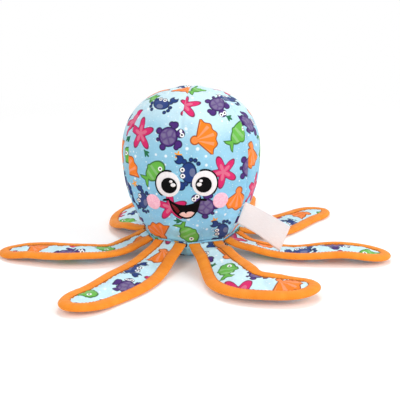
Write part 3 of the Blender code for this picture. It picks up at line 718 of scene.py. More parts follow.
def headPanel(name, nodes, first, columns, seed, offset):
    # one panel cut from the stuffed shell, made finer, with its seams drawn in and puckered
    picked = [(first + i) % len(angles) for i in range(columns + 1)]
    p, normal = gridNormals(refine(refine(stuffed[:headRows][:, picked], 0), 1))
    rows, wide = p.shape[:2]
    if (normal[rows // 2, wide // 2] * p[rows // 2, wide // 2]).sum() < 0:
        normal = -normal
    normal[0] = (0, 0, 1)
    lengths = np.linalg.norm(np.diff(p, axis=0), axis=2).mean(axis=1)
    down = np.concatenate([[0], np.cumsum(lengths)])
    girth = np.linalg.norm(np.diff(p, axis=1), axis=2).sum(axis=1)
    wander = ripple(seed)
    gather = ripple(seed + 1)
    hasDart = "Front" in name
    places = []
    outer = np.empty_like(p)
    parted = []
    for j in range(rows):
        row = []
        dartShare = max(0, (p[j, wide // 2, 2] - head["dartEnd"]) / (head["dartTop"] - head["dartEnd"]))
        parted.append(head["dartCloth"] * dartShare)
        fromEdge = down[-1] - down[j]
        hem = head["hemDepth"] * math.exp(-((fromEdge / head["hemReach"]) ** 2))
        foldSize = math.exp(-fromEdge / head["foldReach"]) * smooth(fromEdge / head["foldStart"])
        for i in range(wide):
            share = i / (wide - 1)
            across = (share - 0.5) * girth[j]
            toSeam = min(share, 1 - share) * girth[j]
            side = 0 if share < 0.5 else 1
            dip = hem + head["grooveDepth"] * math.exp(-((toSeam / head["grooveWidth"]) ** 2))
            phase = down[j] / head["puckerPitch"] * 2 * math.pi + 3 * wander(down[j] * 60 + side * 7)
            reach = math.exp(-toSeam / head["puckerReach"]) * smooth(toSeam / head["puckerStart"])
            dip += head["puckerDepth"] * math.sin(phase) * reach * smooth(girth[j] / head["puckerGirth"])
            fold = math.sin(across / head["foldPitch"] * 2 * math.pi + 2 * gather(across * 90))
            dip += head["foldDepth"] * fold * foldSize
            if hasDart and dartShare > 0:
                toDart = (share - head["dartColumn"] / (wide - 1)) * girth[j]
                crease = math.exp(-((toDart / head["dartWidth"]) ** 2))
                dip += head["dartDepth"] * smooth(dartShare * 5) * crease
            outer[j, i] = p[j, i] - normal[j, i] * dip
            row.append((across / mm + offset[0], down[j] / mm + offset[1]))
        places.append(row)
    inner = outer - normal * head["clothThickness"]
    inner[0] = outer[0] - np.array([0, 0, head["clothThickness"]])
    cut = (head["dartColumn"], parted) if hasDart else None
    panel = closedSheet(name, outer.tolist(), inner.tolist(), places, headPlush, cut)
    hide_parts(*nodes)
    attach(panel, "head")
    return panel


frontCount, backCount = head["frontColumns"], head["backColumns"]
headFront = headPanel("headFrontPanel", ("head_front_panel", "stuffing"), 0, frontCount, 3, (-2, 6))
headPanel("headBackRightPanel", ("head_back_right_panel",), frontCount, backCount, 5, (121, 47))
headPanel("headBackLeftPanel", ("head_back_left_panel",), frontCount + backCount, backCount, 9, (261, 83))
print("head panels made")


def makeBase():
    # the base panel, gathered to the eight-sided seam, with a flat middle under the stuffing
    grid = stuffed[headRows + 2:]
    count = grid.shape[1]
    closed = np.concatenate([grid, grid[:, :1]], axis=1)
    p = refine(refine(closed, 1), 0)
    rows, wide = p.shape[:2]
    gather = ripple(21, 6)
    mesh = bmesh.new()
    layer = mesh.loops.layers.uv.new("cloth")
    outer, inner = [], []
    for j in range(rows - 1):
        ring, lining = [], []
        for i in range(wide - 1):
            point = Vector(p[j, i])
            angle = 2 * math.pi * i / (wide - 1)
            away = smooth(j / 6) * max(0.0, 1 - j / (rows * base["gatherShare"]))
            depth = base["gatherDepth"] * away * math.sin(angle * base["gathers"] + 2 * gather(angle * 5))
            centre = Vector((0, 0, base["gatherCentre"]))
            point = point + (centre - point).normalized() * depth
            point.z = max(point.z, 0.0)
            ring.append(mesh.verts.new(point))
            inward = Vector((-point.x * 0.02, -point.y * 0.02, base["clothThickness"]))
            lining.append(mesh.verts.new(point + inward))
        outer.append(ring)
        inner.append(lining)
    low = mesh.verts.new((0, 0, 0))
    high = mesh.verts.new((0, 0, base["clothThickness"]))
    startX, startY = base["printStart"]

    def addFace(corners):
        face = mesh.faces.new(corners)
        for loop in face.loops:
            x, y = loop.vert.co.xy / mm / clothUnit
            loop[layer].uv = (x + startX, y + startY)

    turn = wide - 1
    for i in range(turn):
        k = (i + 1) % turn
        for j in range(len(outer) - 1):
            addFace((outer[j][i], outer[j][k], outer[j + 1][k], outer[j + 1][i]))
            addFace((inner[j][i], inner[j + 1][i], inner[j + 1][k], inner[j][k]))
        addFace((outer[-1][i], outer[-1][k], low))
        addFace((inner[-1][k], inner[-1][i], high))
        addFace((outer[0][k], outer[0][i], inner[0][i], inner[0][k]))
    panel = finishPiece("basePanel", mesh, headPlush)
    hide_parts("base_panel")
    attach(panel, "head")


makeBase()


def makeSeamRing():
    # the turned-in edges between head and base: a thick gathered roll behind the arms' roots
    mesh = bmesh.new()
    layer = mesh.loops.layers.uv.new("cloth")
    count, section = seamRoll["count"], seamRoll["section"]
    gather = ripple(31, 5)
    rings = []
    for i in range(count):
        angle = 2 * math.pi * i / count
        tuck = seamRoll["gatherDepth"] * math.sin(angle * seamRoll["gathers"] + 2 * gather(angle * 6))
        inset = tuck + seamRoll["gap"]
        rings.append([mesh.verts.new(around(
            angle, (head["seamRadius"] - (depth + inset) * mm) * seamShare(angle),
            head["seamHeight"] + rise * mm)) for depth, rise in section])
    size = len(section)
    for i in range(count):
        k = (i + 1) % count
        for a in range(size):
            b = (a + 1) % size
            face = mesh.faces.new((rings[i][a], rings[k][a], rings[k][b], rings[i][b]))
            for loop, (turn, part) in zip(face.loops, ((i, a), (i + 1, a), (i + 1, a + 1), (i, a + 1))):
                loop[layer].uv = (turn / count * seamRoll["printGirth"] + seamRoll["printStart"],
                                  part * seamRoll["printStep"])
    ring = finishPiece("seamRing", mesh, headPlush)
    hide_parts("seam_ring")
    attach(ring, "head")


makeSeamRing()
print("base and seam made")

# Arms: flat, lightly padded, with tape folded over the edge

arm = {
    "length": 157 * mm,
    "rootWidth": 35 * mm,
    "widest": 49 * mm,
    "shoulderWidth": 43 * mm,
    "tipLength": 32 * mm,
    "widestShare": 0.5,
    "landing": 64 * mm,           # from the root, where the arm comes down to the floor
    "lift": 10 * mm,              # the most that a plan's lift raises it
    "halfThickness": 2.4 * mm,
    "hingeRadius": 47.7 * mm,
    "hingeHeight": head["seamHeight"],
    "walkCount": 140,             # steps along its middle line
    "blendStart": 2 * mm,         # inside the root
    "blendLength": 26 * mm,       # how far out the root still gives when the arm is lifted
    "rootFill": 0.68,             # how thick the arm is at its root, as a share of the rest
    "panelInset": 4.5 * mm,       # where the panels end inside the folded tape
    "panelHeight": 1.75 * mm,
    "panelCrown": 1.05 * mm,      # before it is blown up
    "panelEdge": -0.25 * mm,
    "panelLining": -0.6 * mm,     # height of its lower face above the arm's middle
    "panelLumps": 0.15 * mm,
    "leastPuff": -0.3 * mm,
    "mostPuff": 2.6 * mm,
    "clothNoise": 0.12 * mm,      # starts the cloth's small folds
    "trialSpacing": 80 * mm,      # between two panels while they are blown up together
    "undersideHeight": -1.6 * mm,
    "undersideLining": -0.9 * mm,
    "undersideSag": 0.35 * mm,
    "undersideLumps": 0.1 * mm,
    "floorGap": 0.05 * mm,
    "alongStep": 2.2 * mm,
    "acrossCount": 18,
    "tipRows": 16,
    "lastTurn": math.radians(88),
    "fill": 0.35,
}
armCloth = {"quality": 5, "mass": 0.15, "stretch": 10, "shear": 4, "bend": 0.12,
            "extraCloth": 0.03, "pressure": 1.2, "frames": 14}
bendShares = (0, 0.15, 0.4, 0.7, 1)
armPlans = {    # in degrees, and shares of the lift
    "front_right_arm": dict(
        side=0, bend=(0, 2, -3, 60, 110), roll=(0, 8, 14, 7, 0), lift=(0, 0.5, 0.2, 0.5, 0.7)),
    "right_arm": dict(
        side=1, bend=(0, 16, 20, 20, 20), roll=(0, -6, -6, -2, 0), lift=(0, 0, 0, 0.6, 0.3)),
    "back_right_arm": dict(
        side=2, bend=(0, 17, 36, 30, 4), roll=(0, 8, 2, 0, 0), lift=(0, 0.3, 0, 0, 0)),
    "rear_right_arm": dict(
        side=3, bend=(0, 6, 10, 16, 24), roll=(0, 0, 0, 0, 0), lift=(0, 0, 0.2, 0.2, 0)),
    "rear_left_arm": dict(
        side=4, bend=(0, -20, -32, -34, -40), roll=(0, 0, 0, 0, 0), lift=(0, 0, 0.2, 0, 0)),
    "back_left_arm": dict(
        side=5, bend=(0, -32, -66, -82, -84), roll=(0, -2, -9, -10, 0), lift=(0, 0.4, 0.1, 0, 0)),
    "left_arm": dict(
        side=6, bend=(0, 24, -18, -32, -38), roll=(0, 8, 6, 2, 0), lift=(0, 0, 0.3, 0.4, 0)),
    "front_left_arm": dict(
        side=7, bend=(0, 0, -2, -10, -18), roll=(0, -2, -5, -4, 0), lift=(0, 0.2, 0, 0, 0.4)),
}
tape = {
    "width": 11 * mm,
    "grip": 9.8 * mm,             # the printed top is held this far in
    "topHeight": 3.3 * mm,
    "thickness": 0.7 * mm,
    "wrinkle": 0.35 * mm,
    "waver": 0.25 * mm,           # sideways, of its inner edge
    "colour": "#F79628",
    # deep: the darker orange of the painted shade in the tape's creases
    "deep": "#EE861A",
    # edge: the brown of the painted shadow line along the tape's inner edge
    "edge": "#7A3A10",
    "edgeLine": 0.75,             # mm of it that shows
    "edgeSoft": 0.35,             # mm
    "thread": "#E8720F",
    "stitchLength": 2.2 * mm,
    "stitchWidth": 0.7 * mm,
    "stitchHeight": 0.5 * mm,
    "stitchPitch": 3.2 * mm,
    "stitchInset": 9.6 * mm,
    "stitchStart": 3 * mm,
    # the section seen end on, as shares of width and height: over the top and round the fold
    "over": [(1.0, 0.62), (0.985, 0.74), (0.9, 0.86), (0.75, 0.95), (0.55, 1.0), (0.36, 0.96),
             (0.2, 0.82), (0.08, 0.56), (0.0, 0.16)],
    "under": [(0.02, 0.3), (0.1, 0.72), (0.25, 0.95), (0.5, 1.0), (0.8, 1.0), (0.985, 0.92),
              (1.0, 0.85)],
}


def between(shares, values, share):
    for k in range(len(shares) - 2):
        if share < shares[k + 1]:
            break
    else:
        k = len(shares) - 2
    part = smooth((share - shares[k]) / (shares[k + 1] - shares[k]))
    return values[k] + (values[k + 1] - values[k]) * part


def armHalfWidth(distance):
    shoulder = arm["length"] - arm["tipLength"]
    widths = (arm["rootWidth"] / 2, arm["widest"] / 2, arm["shoulderWidth"] / 2)
    shares = (0, arm["widestShare"], shoulder / arm["length"])
    return between(shares, widths, min(distance, shoulder) / arm["length"])


class LaidArm:
    # carries a place on the flat arm (along, across, above) to where the arm lies

    def __init__(self, plan):
        count, length = arm["walkCount"], arm["length"]
        self.step = length / count
        rootAngle = sideAngle * (plan["side"] + 0.5)
        self.root = around(rootAngle, arm["hingeRadius"], arm["hingeHeight"])
        self.out = around(rootAngle, 1, 0)
        self.walk = []
        flat, lastHeight = Vector(), None
        for k in range(count + 1):
            share, distance = k / count, self.step * k
            heading = rootAngle + math.radians(between(bendShares, plan["bend"], share))
            roll = math.radians(between(bendShares, plan["roll"], share))
            fall = max(0, 1 - distance / arm["landing"]) ** 2
            height = arm["halfThickness"] + (arm["hingeHeight"] - arm["halfThickness"]) * fall
            height += armHalfWidth(distance) * abs(math.sin(roll)) * (1 - fall)
            height += arm["lift"] * between(bendShares, plan["lift"], share)
            slope = 0 if lastHeight is None else math.asin((height - lastHeight) / self.step)
            lastHeight = height
            self.walk.append([flat + self.root, heading, slope, roll, height])
            flat = flat + around(heading, self.step * math.cos(slope), 0)
        self.walk[0][2] = self.walk[1][2]

    def directions(self, along):
        place = max(along / self.step, 0)
        k = min(int(place), len(self.walk) - 2)
        part = min(place - k, 1)
        one, two = self.walk[k], self.walk[k + 1]
        heading, slope, roll, height = [a + (b - a) * part for a, b in zip(one[1:], two[1:])]
        middle = one[0].lerp(two[0], part)
        middle.z = height
        forward = around(heading, math.cos(slope), math.sin(slope))
        level = Vector((math.cos(heading), math.sin(heading), 0))
        upward = forward.cross(level)
        side = level * math.cos(roll) + upward * math.sin(roll)
        upward = upward * math.cos(roll) - level * math.sin(roll)
        if along < 0:
            middle = middle + forward * along
        return middle, forward, side, upward

    def point(self, along, across, above):
        middle, forward, side, upward = self.directions(along)
        point = middle + side * across + upward * above
        point.z = max(point.z, arm["floorGap"])
        return point

    def rootPoint(self, across, above):
        most = arm["halfThickness"] * 0.97
        above = max(min(above, most), -most)
        return self.point(-math.sqrt(arm["halfThickness"] ** 2 - above ** 2), across, above)


def armEdge(inset, turn):
    # turn counts distance along the straight sides, then 0 to 90 degrees round the tip
    shoulder = arm["length"] - arm["tipLength"]
    if turn <= 0:
        along = shoulder + turn
        return along, armHalfWidth(max(along, 0)) - inset
    return (shoulder + (arm["tipLength"] - inset) * math.sin(turn),
            (arm["shoulderWidth"] / 2 - inset) * math.cos(turn))


def edgeTurns():
    shoulder = arm["length"] - arm["tipLength"]
    count, tipRows = round(shoulder / arm["alongStep"]), arm["tipRows"]
    straight = [-shoulder + shoulder * k / count for k in range(count)]
    return straight + [math.radians(90 * k / tipRows) for k in range(tipRows)] + [arm["lastTurn"]]


turns = edgeTurns()


def puffPanels():
    # the printed tops of all eight arms, flat, held where the tape grips them and blown up
    across = arm["acrossCount"]
    grids, points, faces, held = [], [], [], {}
    for number in range(len(armPlans)):
        dice = random.Random(number + 40)
        start = len(points)
        for j, turn in enumerate(turns):
            along, half = armEdge(tape["grip"], turn)
            for i in range(across + 1):
                share = i / across * 2 - 1
                rise = arm["panelCrown"] * (1 - share ** 2) * smooth(along / (30 * mm))
                noise = dice.uniform(-1, 1) * arm["clothNoise"] if 0 < i < across else 0
                points.append((along, half * share + number * arm["trialSpacing"], rise + noise))
                if i in (0, across) or j < 2 or j == len(turns) - 1:
                    held[start + j * (across + 1) + i] = 1.0
        for j in range(len(turns) - 1):
            for i in range(across):
                a = start + j * (across + 1) + i
                faces.append((a, a + across + 1, a + across + 2, a + 1))
    ended = runCloth(points, faces, held, armCloth)
    size = len(turns) * (across + 1)
    for number in range(len(armPlans)):
        block = ended[number * size:(number + 1) * size].copy()
        block[:, 1] -= number * arm["trialSpacing"]
        block[:, 2] = np.clip(block[:, 2], arm["leastPuff"], arm["mostPuff"])
        grids.append(block.reshape(len(turns), across + 1, 3))
    print("arm panels puffed, up to", round(float(ended[:, 2].max()) * 1000, 2), "mm")
    return grids


puffed = puffPanels()


def orangeTapeCloth():
    # plain woven polyester tape, folded and pressed: matt orange, fine cross ribs, slight creases
    material, tree, shader = newMaterial("wovenOrangeTape")
    place = clothPlace(tree)
    # threads of 0.5 mm, drawn as 1 mm ribs so that they show
    ribs = addNode(tree, "ShaderNodeTexWave", {
        "Vector": place, "Scale": 0.32, "Distortion": 0.6, "Detail": 1.0, "Detail Scale": 2.0})
    stretched = addNode(tree, "ShaderNodeVectorMath", (place, (0.16, 0.05, 1)), operation="MULTIPLY")
    creases = addNode(tree, "ShaderNodeTexNoise", {
        "Vector": stretched, "Scale": 1.0, "Detail": 3.0, "Roughness": 0.55})
    patches = addNode(tree, "ShaderNodeTexNoise", {"Vector": place, "Scale": 0.03, "Detail": 2.0})
    depth = addNode(tree, "ShaderNodeMath", (creases.outputs[0], 4.0), operation="MULTIPLY")
    depth = addNode(tree, "ShaderNodeMath", (ribs.outputs[0], 0.35, depth), operation="MULTIPLY_ADD")
    # painted shade: darker orange (deep) in the creases' hollows, mixed with random patches of tone
    tone = addNode(tree, "ShaderNodeMath", (creases.outputs[0], patches.outputs[0]), operation="ADD")
    tone = addNode(tree, "ShaderNodeMapRange", (tone, 0.75, 1.3, 0.0, 1.0))
    colour = addNode(tree, "ShaderNodeMix", {
        0: tone, 6: linear(tape["deep"]), 7: linear(tape["colour"])}, data_type="RGBA").outputs[2]
    # painted shadow: a thin brown line along the tape's inner edge, where it meets the printed top
    parts = addNode(tree, "ShaderNodeSeparateXYZ", (place,))
    edgeShadowEnd = tape["edgeLine"] + tape["edgeSoft"]
    paintedEdgeShadow = addNode(tree, "ShaderNodeMapRange", (
        parts.outputs["Y"], tape["edgeLine"], edgeShadowEnd, 0.75, 0.0))
    colour = addNode(tree, "ShaderNodeMix", {
        0: paintedEdgeShadow, 6: colour, 7: linear(tape["edge"])}, data_type="RGBA").outputs[2]
    # painted shade and highlight along the ribs: darker in their troughs, lighter on their crests
    thread = addNode(tree, "ShaderNodeMapRange", (ribs.outputs[0], 0.0, 1.0, 0.93, 1.03))
    colour = addNode(tree, "ShaderNodeVectorMath", (colour, thread), operation="MULTIPLY")
    bump = addNode(tree, "ShaderNodeBump", {"Strength": 0.45, "Distance": 0.4 * mm, "Height": depth})
    rough = addNode(tree, "ShaderNodeMapRange", (creases.outputs[0], 0.3, 0.7, 0.82, 0.66))
    setInputs(tree, shader, {
        "Base Color": colour, "Roughness": rough, "Normal": bump, "Sheen Weight": 0.15,
        "Sheen Roughness": 0.4, "Specular IOR Level": 0.3})
    return material


tapeCloth = orangeTapeCloth()


def sewingThread(name, colour):
    # twisted polyester thread: a slight gloss on each turn of the ply
    material, tree, shader = newMaterial(name)
    where = addNode(tree, "ShaderNodeTexCoord").outputs["Object"]
    ply = addNode(tree, "ShaderNodeTexNoise", {"Vector": where, "Scale": 1400.0, "Detail": 1.0})
    # painted shade and highlight on the thread: darker where the ply's bump is low, lighter where it is
    # high
    dim = addNode(tree, "ShaderNodeMapRange", (ply.outputs[0], 0.3, 0.7, 0.8, 1.1))
    shade = addNode(tree, "ShaderNodeVectorMath", (linear(colour)[:3], dim), operation="MULTIPLY")
    bump = addNode(tree, "ShaderNodeBump", {
        "Strength": 0.3, "Distance": 0.1 * mm, "Height": ply.outputs[0]})
    setInputs(tree, shader, {"Base Color": shade, "Normal": bump, "Roughness": 0.5})
    return material


orangeThread = sewingThread("orangeThread", tape["thread"])


def stitchTree():
    # spaces stitches of one length along a line that carries the cloth's normal
    tree = bpy.data.node_groups.new("stitchLine", "GeometryNodeTree")
    sockets = tree.interface
    sockets.new_socket("Geometry", in_out="INPUT", socket_type="NodeSocketGeometry")
    for name in ("Pitch", "Length", "Width", "Height"):
        sockets.new_socket(name, in_out="INPUT", socket_type="NodeSocketFloat")
    sockets.new_socket("Thread", in_out="INPUT", socket_type="NodeSocketMaterial")
    sockets.new_socket("Geometry", in_out="OUTPUT", socket_type="NodeSocketGeometry")
    start = addNode(tree, "NodeGroupInput")
    line = addNode(tree, "GeometryNodeMeshToCurve", (start.outputs["Geometry"],))
    spaced = addNode(tree, "GeometryNodeResampleCurve", {
        "Curve": line, "Length": start.outputs["Pitch"]}, mode="LENGTH")
    tangent = addNode(tree, "GeometryNodeInputTangent")
    normal = addNode(tree, "GeometryNodeInputNamedAttribute", {"Name": "clothNormal"},
                     data_type="FLOAT_VECTOR")
    turned = addNode(tree, "FunctionNodeAlignEulerToVector", {"Vector": tangent}, axis="X")
    turned = addNode(tree, "FunctionNodeAlignEulerToVector", {"Rotation": turned, "Vector": normal},
                     axis="Z", pivot_axis="X")
    ball = addNode(tree, "GeometryNodeMeshUVSphere", {"Segments": 6, "Rings": 4, "Radius": 0.5})
    size = addNode(tree, "ShaderNodeCombineXYZ", (
        start.outputs["Length"], start.outputs["Width"], start.outputs["Height"]))
    shaped = addNode(tree, "GeometryNodeTransform", {"Geometry": ball, "Scale": size})
    placed = addNode(tree, "GeometryNodeInstanceOnPoints", {
        "Points": spaced, "Instance": shaped, "Rotation": turned})
    real = addNode(tree, "GeometryNodeRealizeInstances", (placed,))
    soft = addNode(tree, "GeometryNodeSetShadeSmooth", (real,))
    painted = addNode(tree, "GeometryNodeSetMaterial", {
        "Geometry": soft, "Material": start.outputs["Thread"]})
    addNode(tree, "NodeGroupOutput", (painted,))
    return tree


stitches = stitchTree()


def sewStitches(name, lines, sizes, thread):
    # lines are runs of (point, cloth normal); the result is one plain mesh
    points = [p for run in lines for p, n in run]
    normals = [n for run in lines for p, n in run]
    edges, count = [], 0
    for run in lines:
        edges += [(count + k, count + k + 1) for k in range(len(run) - 1)]
        count += len(run)
    mesh = bpy.data.meshes.new(name + "Line")
    mesh.from_pydata([tuple(p) for p in points], edges, [])
    attribute = mesh.attributes.new("clothNormal", "FLOAT_VECTOR", "POINT")
    attribute.data.foreach_set("vector", [c for n in normals for c in n])
    line = addObject(name + "Line", mesh)
    sewn = line.modifiers.new("stitches", "NODES")
    sewn.node_group = stitches
    for item in stitches.interface.items_tree:
        if item.in_out == "INPUT" and item.name in sizes:
            sewn[item.identifier] = sizes[item.name]
        if item.in_out == "INPUT" and item.name == "Thread":
            sewn[item.identifier] = thread
    evaluated = line.evaluated_get(bpy.context.evaluated_depsgraph_get())
    made = bpy.data.meshes.new_from_object(evaluated)
    made.name = name
    bpy.data.objects.remove(line)
    piece = addObject(name, made)
    if not made.materials:
        made.materials.append(thread)
    return piece


def tapeSection(swell):
    # the folded tape seen end on: outside from the top edge round the fold, then its lining
    width, high = tape["width"], tape["topHeight"] * swell
    low = arm["floorGap"] - arm["halfThickness"]
    section = [(width * inset, high * rise) for inset, rise in tape["over"]]
    section += [(width * inset, low * rise) for inset, rise in tape["under"]]
    thick = tape["thickness"]
    lining = []
    for k, (inset, rise) in enumerate(section):
        before, after = section[max(k - 1, 0)], section[min(k + 1, len(section) - 1)]
        run = Vector((after[0] - before[0], after[1] - before[1])).normalized()
        out = Vector((run.y, -run.x)) * thick
        if k in (0, len(section) - 1):
            out = Vector((0, -thick if k == 0 else thick))
        lining.append((inset + abs(out.x) if 0 < k < len(section) - 1 else inset,
                       rise + (-abs(out.y) if rise > 0 else abs(out.y))))
    return section, lining


def makeArm(name, plan, panelGrid, seed):
    shape = LaidArm(plan)
    title = "".join(w.capitalize() for w in name.split("_"))
    title = title[0].lower() + title[1:]
    wander, crease, lumps = ripple(seed), ripple(seed + 1, 6), ripple(seed + 2, 5)

    def swell(along):
        return arm["rootFill"] + (1 - arm["rootFill"]) * smooth(along / arm["blendLength"])

    def laid(atRoot, along, across, above):
        return shape.rootPoint(across, above) if atRoot else shape.point(along, across, above)

    # printed top with its wadding
    outer, inner, places = [], [], []
    for j, turn in enumerate(turns):
        along, edgeHalf = armEdge(arm["panelInset"], turn)
        steps = [(along, -edgeHalf, arm["panelEdge"]), *panelGrid[j], (along, edgeHalf, arm["panelEdge"])]
        top, low, where = [], [], []
        for x, y, z in steps:
            above = (arm["panelHeight"] + z) * swell(x) + arm["panelLumps"] * lumps(x * 60 + y * 40)
            top.append(laid(j == 0, x, y, above))
            low.append(laid(j == 0, x, y, arm["panelLining"]))
            where.append((y / mm + seed * 53, x / mm + seed * 31))
        outer.append(top)
        inner.append(low)
        places.append(where)
    topPanel = closedSheet(title + "TopPanel", outer, inner, places, armPlush)
    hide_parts(name + "_top_panel", name + "_core")

    # underside, nearly flat
    outer, inner, places = [], [], []
    for j, turn in enumerate(turns):
        along, half = armEdge(arm["panelInset"], turn)
        top, low, where = [], [], []
        for i in range(13):
            share = i / 6 - 1
            y = half * share
            sag = arm["undersideSag"] * (1 - share ** 2)
            sag += arm["undersideLumps"] * lumps(along * 70 + y * 90)
            low.append(laid(j == 0, along, y, arm["undersideLining"]))
            top.append(laid(j == 0, along, y, arm["undersideHeight"] - sag))
            where.append((y / mm + seed * 71, along / mm + seed * 17))
        outer.append(top)
        inner.append(low)
        places.append(where)
    underside = closedSheet(title + "Underside", outer, inner, places, headPlush)
    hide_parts(name + "_underside")

    # tape from the root along one side, round the tip and back
    stops = [(turn, 1) for turn in turns] + [(turn, -1) for turn in reversed(turns[:-1])]
    stops[len(turns) - 1] = (math.pi / 2, 1)
    rings, places = [], []
    topLine, underLine = [], []
    for n, (turn, hand) in enumerate(stops):
        along = armEdge(0, turn)[0]
        section, lining = tapeSection(swell(along))
        distance = n * arm["alongStep"]
        ring, where = [], []
        girth = 0.0
        atRoot = n in (0, len(stops) - 1)
        for k, (inset, rise) in enumerate(section):
            share = inset / tape["width"]
            if rise > 0:
                bumps = crease(distance * 420) * 0.6 + wander(distance * 130) * 0.5
                rise += tape["wrinkle"] * bumps * math.sin(math.pi * min(share, 1)) ** 0.5
            inset += tape["waver"] * wander(distance * 260 + 3) * share ** 2
            x, half = armEdge(inset, turn)
            ring.append(laid(atRoot, x, hand * half, rise))
            if k:
                girth += (Vector(section[k]) - Vector(section[k - 1])).length
            where.append((distance / mm, girth / mm))
        for k in range(len(lining) - 1, -1, -1):
            inset, rise = lining[k]
            x, half = armEdge(inset, turn)
            ring.append(laid(atRoot, x, hand * half, rise))
            where.append((distance / mm, 2 * girth / mm - where[k][1]))
        rings.append(ring)
        places.append(where)
        if not atRoot and along > tape["stitchStart"]:
            x, half = armEdge(tape["stitchInset"], turn)
            upward = shape.directions(x)[3]
            share = tape["stitchInset"] / tape["width"]
            top = tape["topHeight"] * swell(along) * (0.86 + (0.9 - share) / 0.15 * 0.09)
            topLine.append((shape.point(x, hand * half, top + 0.05 * mm), upward))
            under = shape.point(x, hand * half, -arm["halfThickness"] * 0.97)
            under.z = max(under.z, 0.3 * mm)
            underLine.append((under, -upward))
    binding = closedRun(title + "Binding", rings, places, tapeCloth)
    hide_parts(name + "_binding")

    sizes = {"Pitch": tape["stitchPitch"], "Length": tape["stitchLength"],
             "Width": tape["stitchWidth"], "Height": tape["stitchHeight"]}
    sewn = sewStitches(title + "Stitches", [topLine, underLine], sizes, orangeThread)
    for piece in (topPanel, underside, binding, sewn):
        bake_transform(piece)


for number, (name, plan) in enumerate(armPlans.items()):
    makeArm(name, plan, puffed[number], number * 3 + 60)
print("arms made:", len(armPlans))

# Face: embroidered patches laid on the stuffed head

face = {
    "height": 74.0 * mm,
    "tilt": math.radians(2.4),
    "thickness": 0.75 * mm,       # of one layer
    "sunk": -0.5 * mm,            # a patch starts under the cloth's face
    "roundEdge": 0.5 * mm,
    "bandEdge": 0.45 * mm,
    "castFrom": 12 * mm,
    "castReach": 30 * mm,
    "eyeWidth": 24 * mm,
    "eyeHeight": 25.5 * mm,
    "eyeSpacing": 35.2 * mm,
    "eyeRise": 9.5 * mm,
    "eyeShift": 1.2 * mm,
    "rimWidth": 1.6 * mm,
    "rimStart": math.radians(110),
    "rimTurn": math.radians(170),
    "rimSteps": 48,
    "pupil": 15.4 * mm,
    "pupilInset": 1.2 * mm,
    "pupilDrop": 1.0 * mm,
    # mm in from the pupil's middle and up, width and height
    "glints": {"Small": (2.4, 4.3, 3.2, 2.8), "Large": (4.3, 0.9, 4.7, 3.7)},
    "cheek": 16.6 * mm,
    "cheekSpacing": 68.2 * mm,
    "cheekDrop": 10.2 * mm,
    "mouthWidth": 32 * mm,
    "mouthScale": 45 * mm,
    "mouthDrop": 14.3 * mm,
    "mouthShift": -1.4 * mm,
    "tickLength": 6.0 * mm,
    "tickWidth": 2.1 * mm,
    "tickDrop": 2.4 * mm,
    "tickInset": 0.8 * mm,
    "tickSteps": 12,
    # a sewn line seen end on, in half widths and layers
    "lineSection": [(-1, 0.35), (-0.7, 0.75), (0, 0.95), (0.7, 0.75), (1, 0.35)],
    "stitchPitch": 0.9,           # mm, real thread lies at 0.4 mm, drawn coarser so that it shows
}
headTree = BVHTree.FromPolygons(
    [v.co for v in headFront.data.vertices], [tuple(p.vertices) for p in headFront.data.polygons])


def facePoint(across, up, lift):
    # a place on the face, found on the stuffed panel and lifted off it
    x = across * math.cos(face["tilt"]) - up * math.sin(face["tilt"])
    y = across * math.sin(face["tilt"]) + up * math.cos(face["tilt"])
    step = 0.3 * mm
    run = headRadius(face["height"] + step) - headRadius(face["height"])
    height = face["height"] + y * step / math.hypot(step, run)
    angle = x / headRadius(height)
    middle = headPoint(angle, height)
    tilt = (headPoint(angle, height + step) - middle).normalized()
    level = Vector((math.cos(angle), math.sin(angle), 0))
    out = tilt.cross(level).normalized() * -1
    hit = headTree.ray_cast(middle + out * face["castFrom"], -out, face["castReach"])[0]
    return (hit or middle) + out * lift


satin = {    # thread, shade between the threads, their turn in radians, roughness, specular level
    "White": ("#F6F2F2", "#E6DFE2", 0.2, 0.6, 0.2),
    "Black": ("#0C0A0C", "#030203", 0.5, 0.7, 0.08),
    "DarkRed": ("#7A1420", "#560A14", 1.1, 0.55, 0.2),
    "PalePink": ("#F9CFC6", "#EDB6AC", 1.5, 0.6, 0.2),
}


def satinStitch(name, colour, deep, turn, roughness, specular):
    # rayon thread laid side by side: fine parallel ridges that catch the light along their length
    material, tree, shader = newMaterial(name)
    place = addNode(tree, "ShaderNodeVectorRotate", {"Vector": clothPlace(tree), "Angle": turn},
                    rotation_type="Z_AXIS")
    threads = addNode(tree, "ShaderNodeTexWave", {
        "Vector": place, "Scale": 0.314 / face["stitchPitch"], "Distortion": 0.5, "Detail": 1.0,
        "Detail Scale": 0.8})
    stretched = addNode(tree, "ShaderNodeVectorMath", (place, (1.1, 0.12, 1)), operation="MULTIPLY")
    strands = addNode(tree, "ShaderNodeTexNoise", {"Vector": stretched, "Scale": 1.0, "Detail": 2.0})
    tone = addNode(tree, "ShaderNodeMath", (threads.outputs[0], 0.5, strands.outputs[0]),
                   operation="MULTIPLY_ADD")
    tone = addNode(tree, "ShaderNodeMapRange", (tone, 0.35, 1.05, 0.0, 1.0))
    mixed = addNode(tree, "ShaderNodeMix", {0: tone, 6: linear(deep), 7: linear(colour)}, data_type="RGBA")
    bump = addNode(tree, "ShaderNodeBump", {"Strength": 0.35, "Distance": 0.25 * mm, "Height": tone})
    rough = addNode(tree, "ShaderNodeMapRange", (
        strands.outputs[0], 0.3, 0.7, roughness + 0.08, roughness - 0.06))
    setInputs(tree, shader, {
        "Base Color": mixed.outputs[2], "Roughness": rough, "Normal": bump,
        "Specular IOR Level": specular})
    return material


whiteStitch, blackStitch, redStitch, tongueStitch = [
    satinStitch("satinStitch" + name, *values) for name, values in satin.items()]


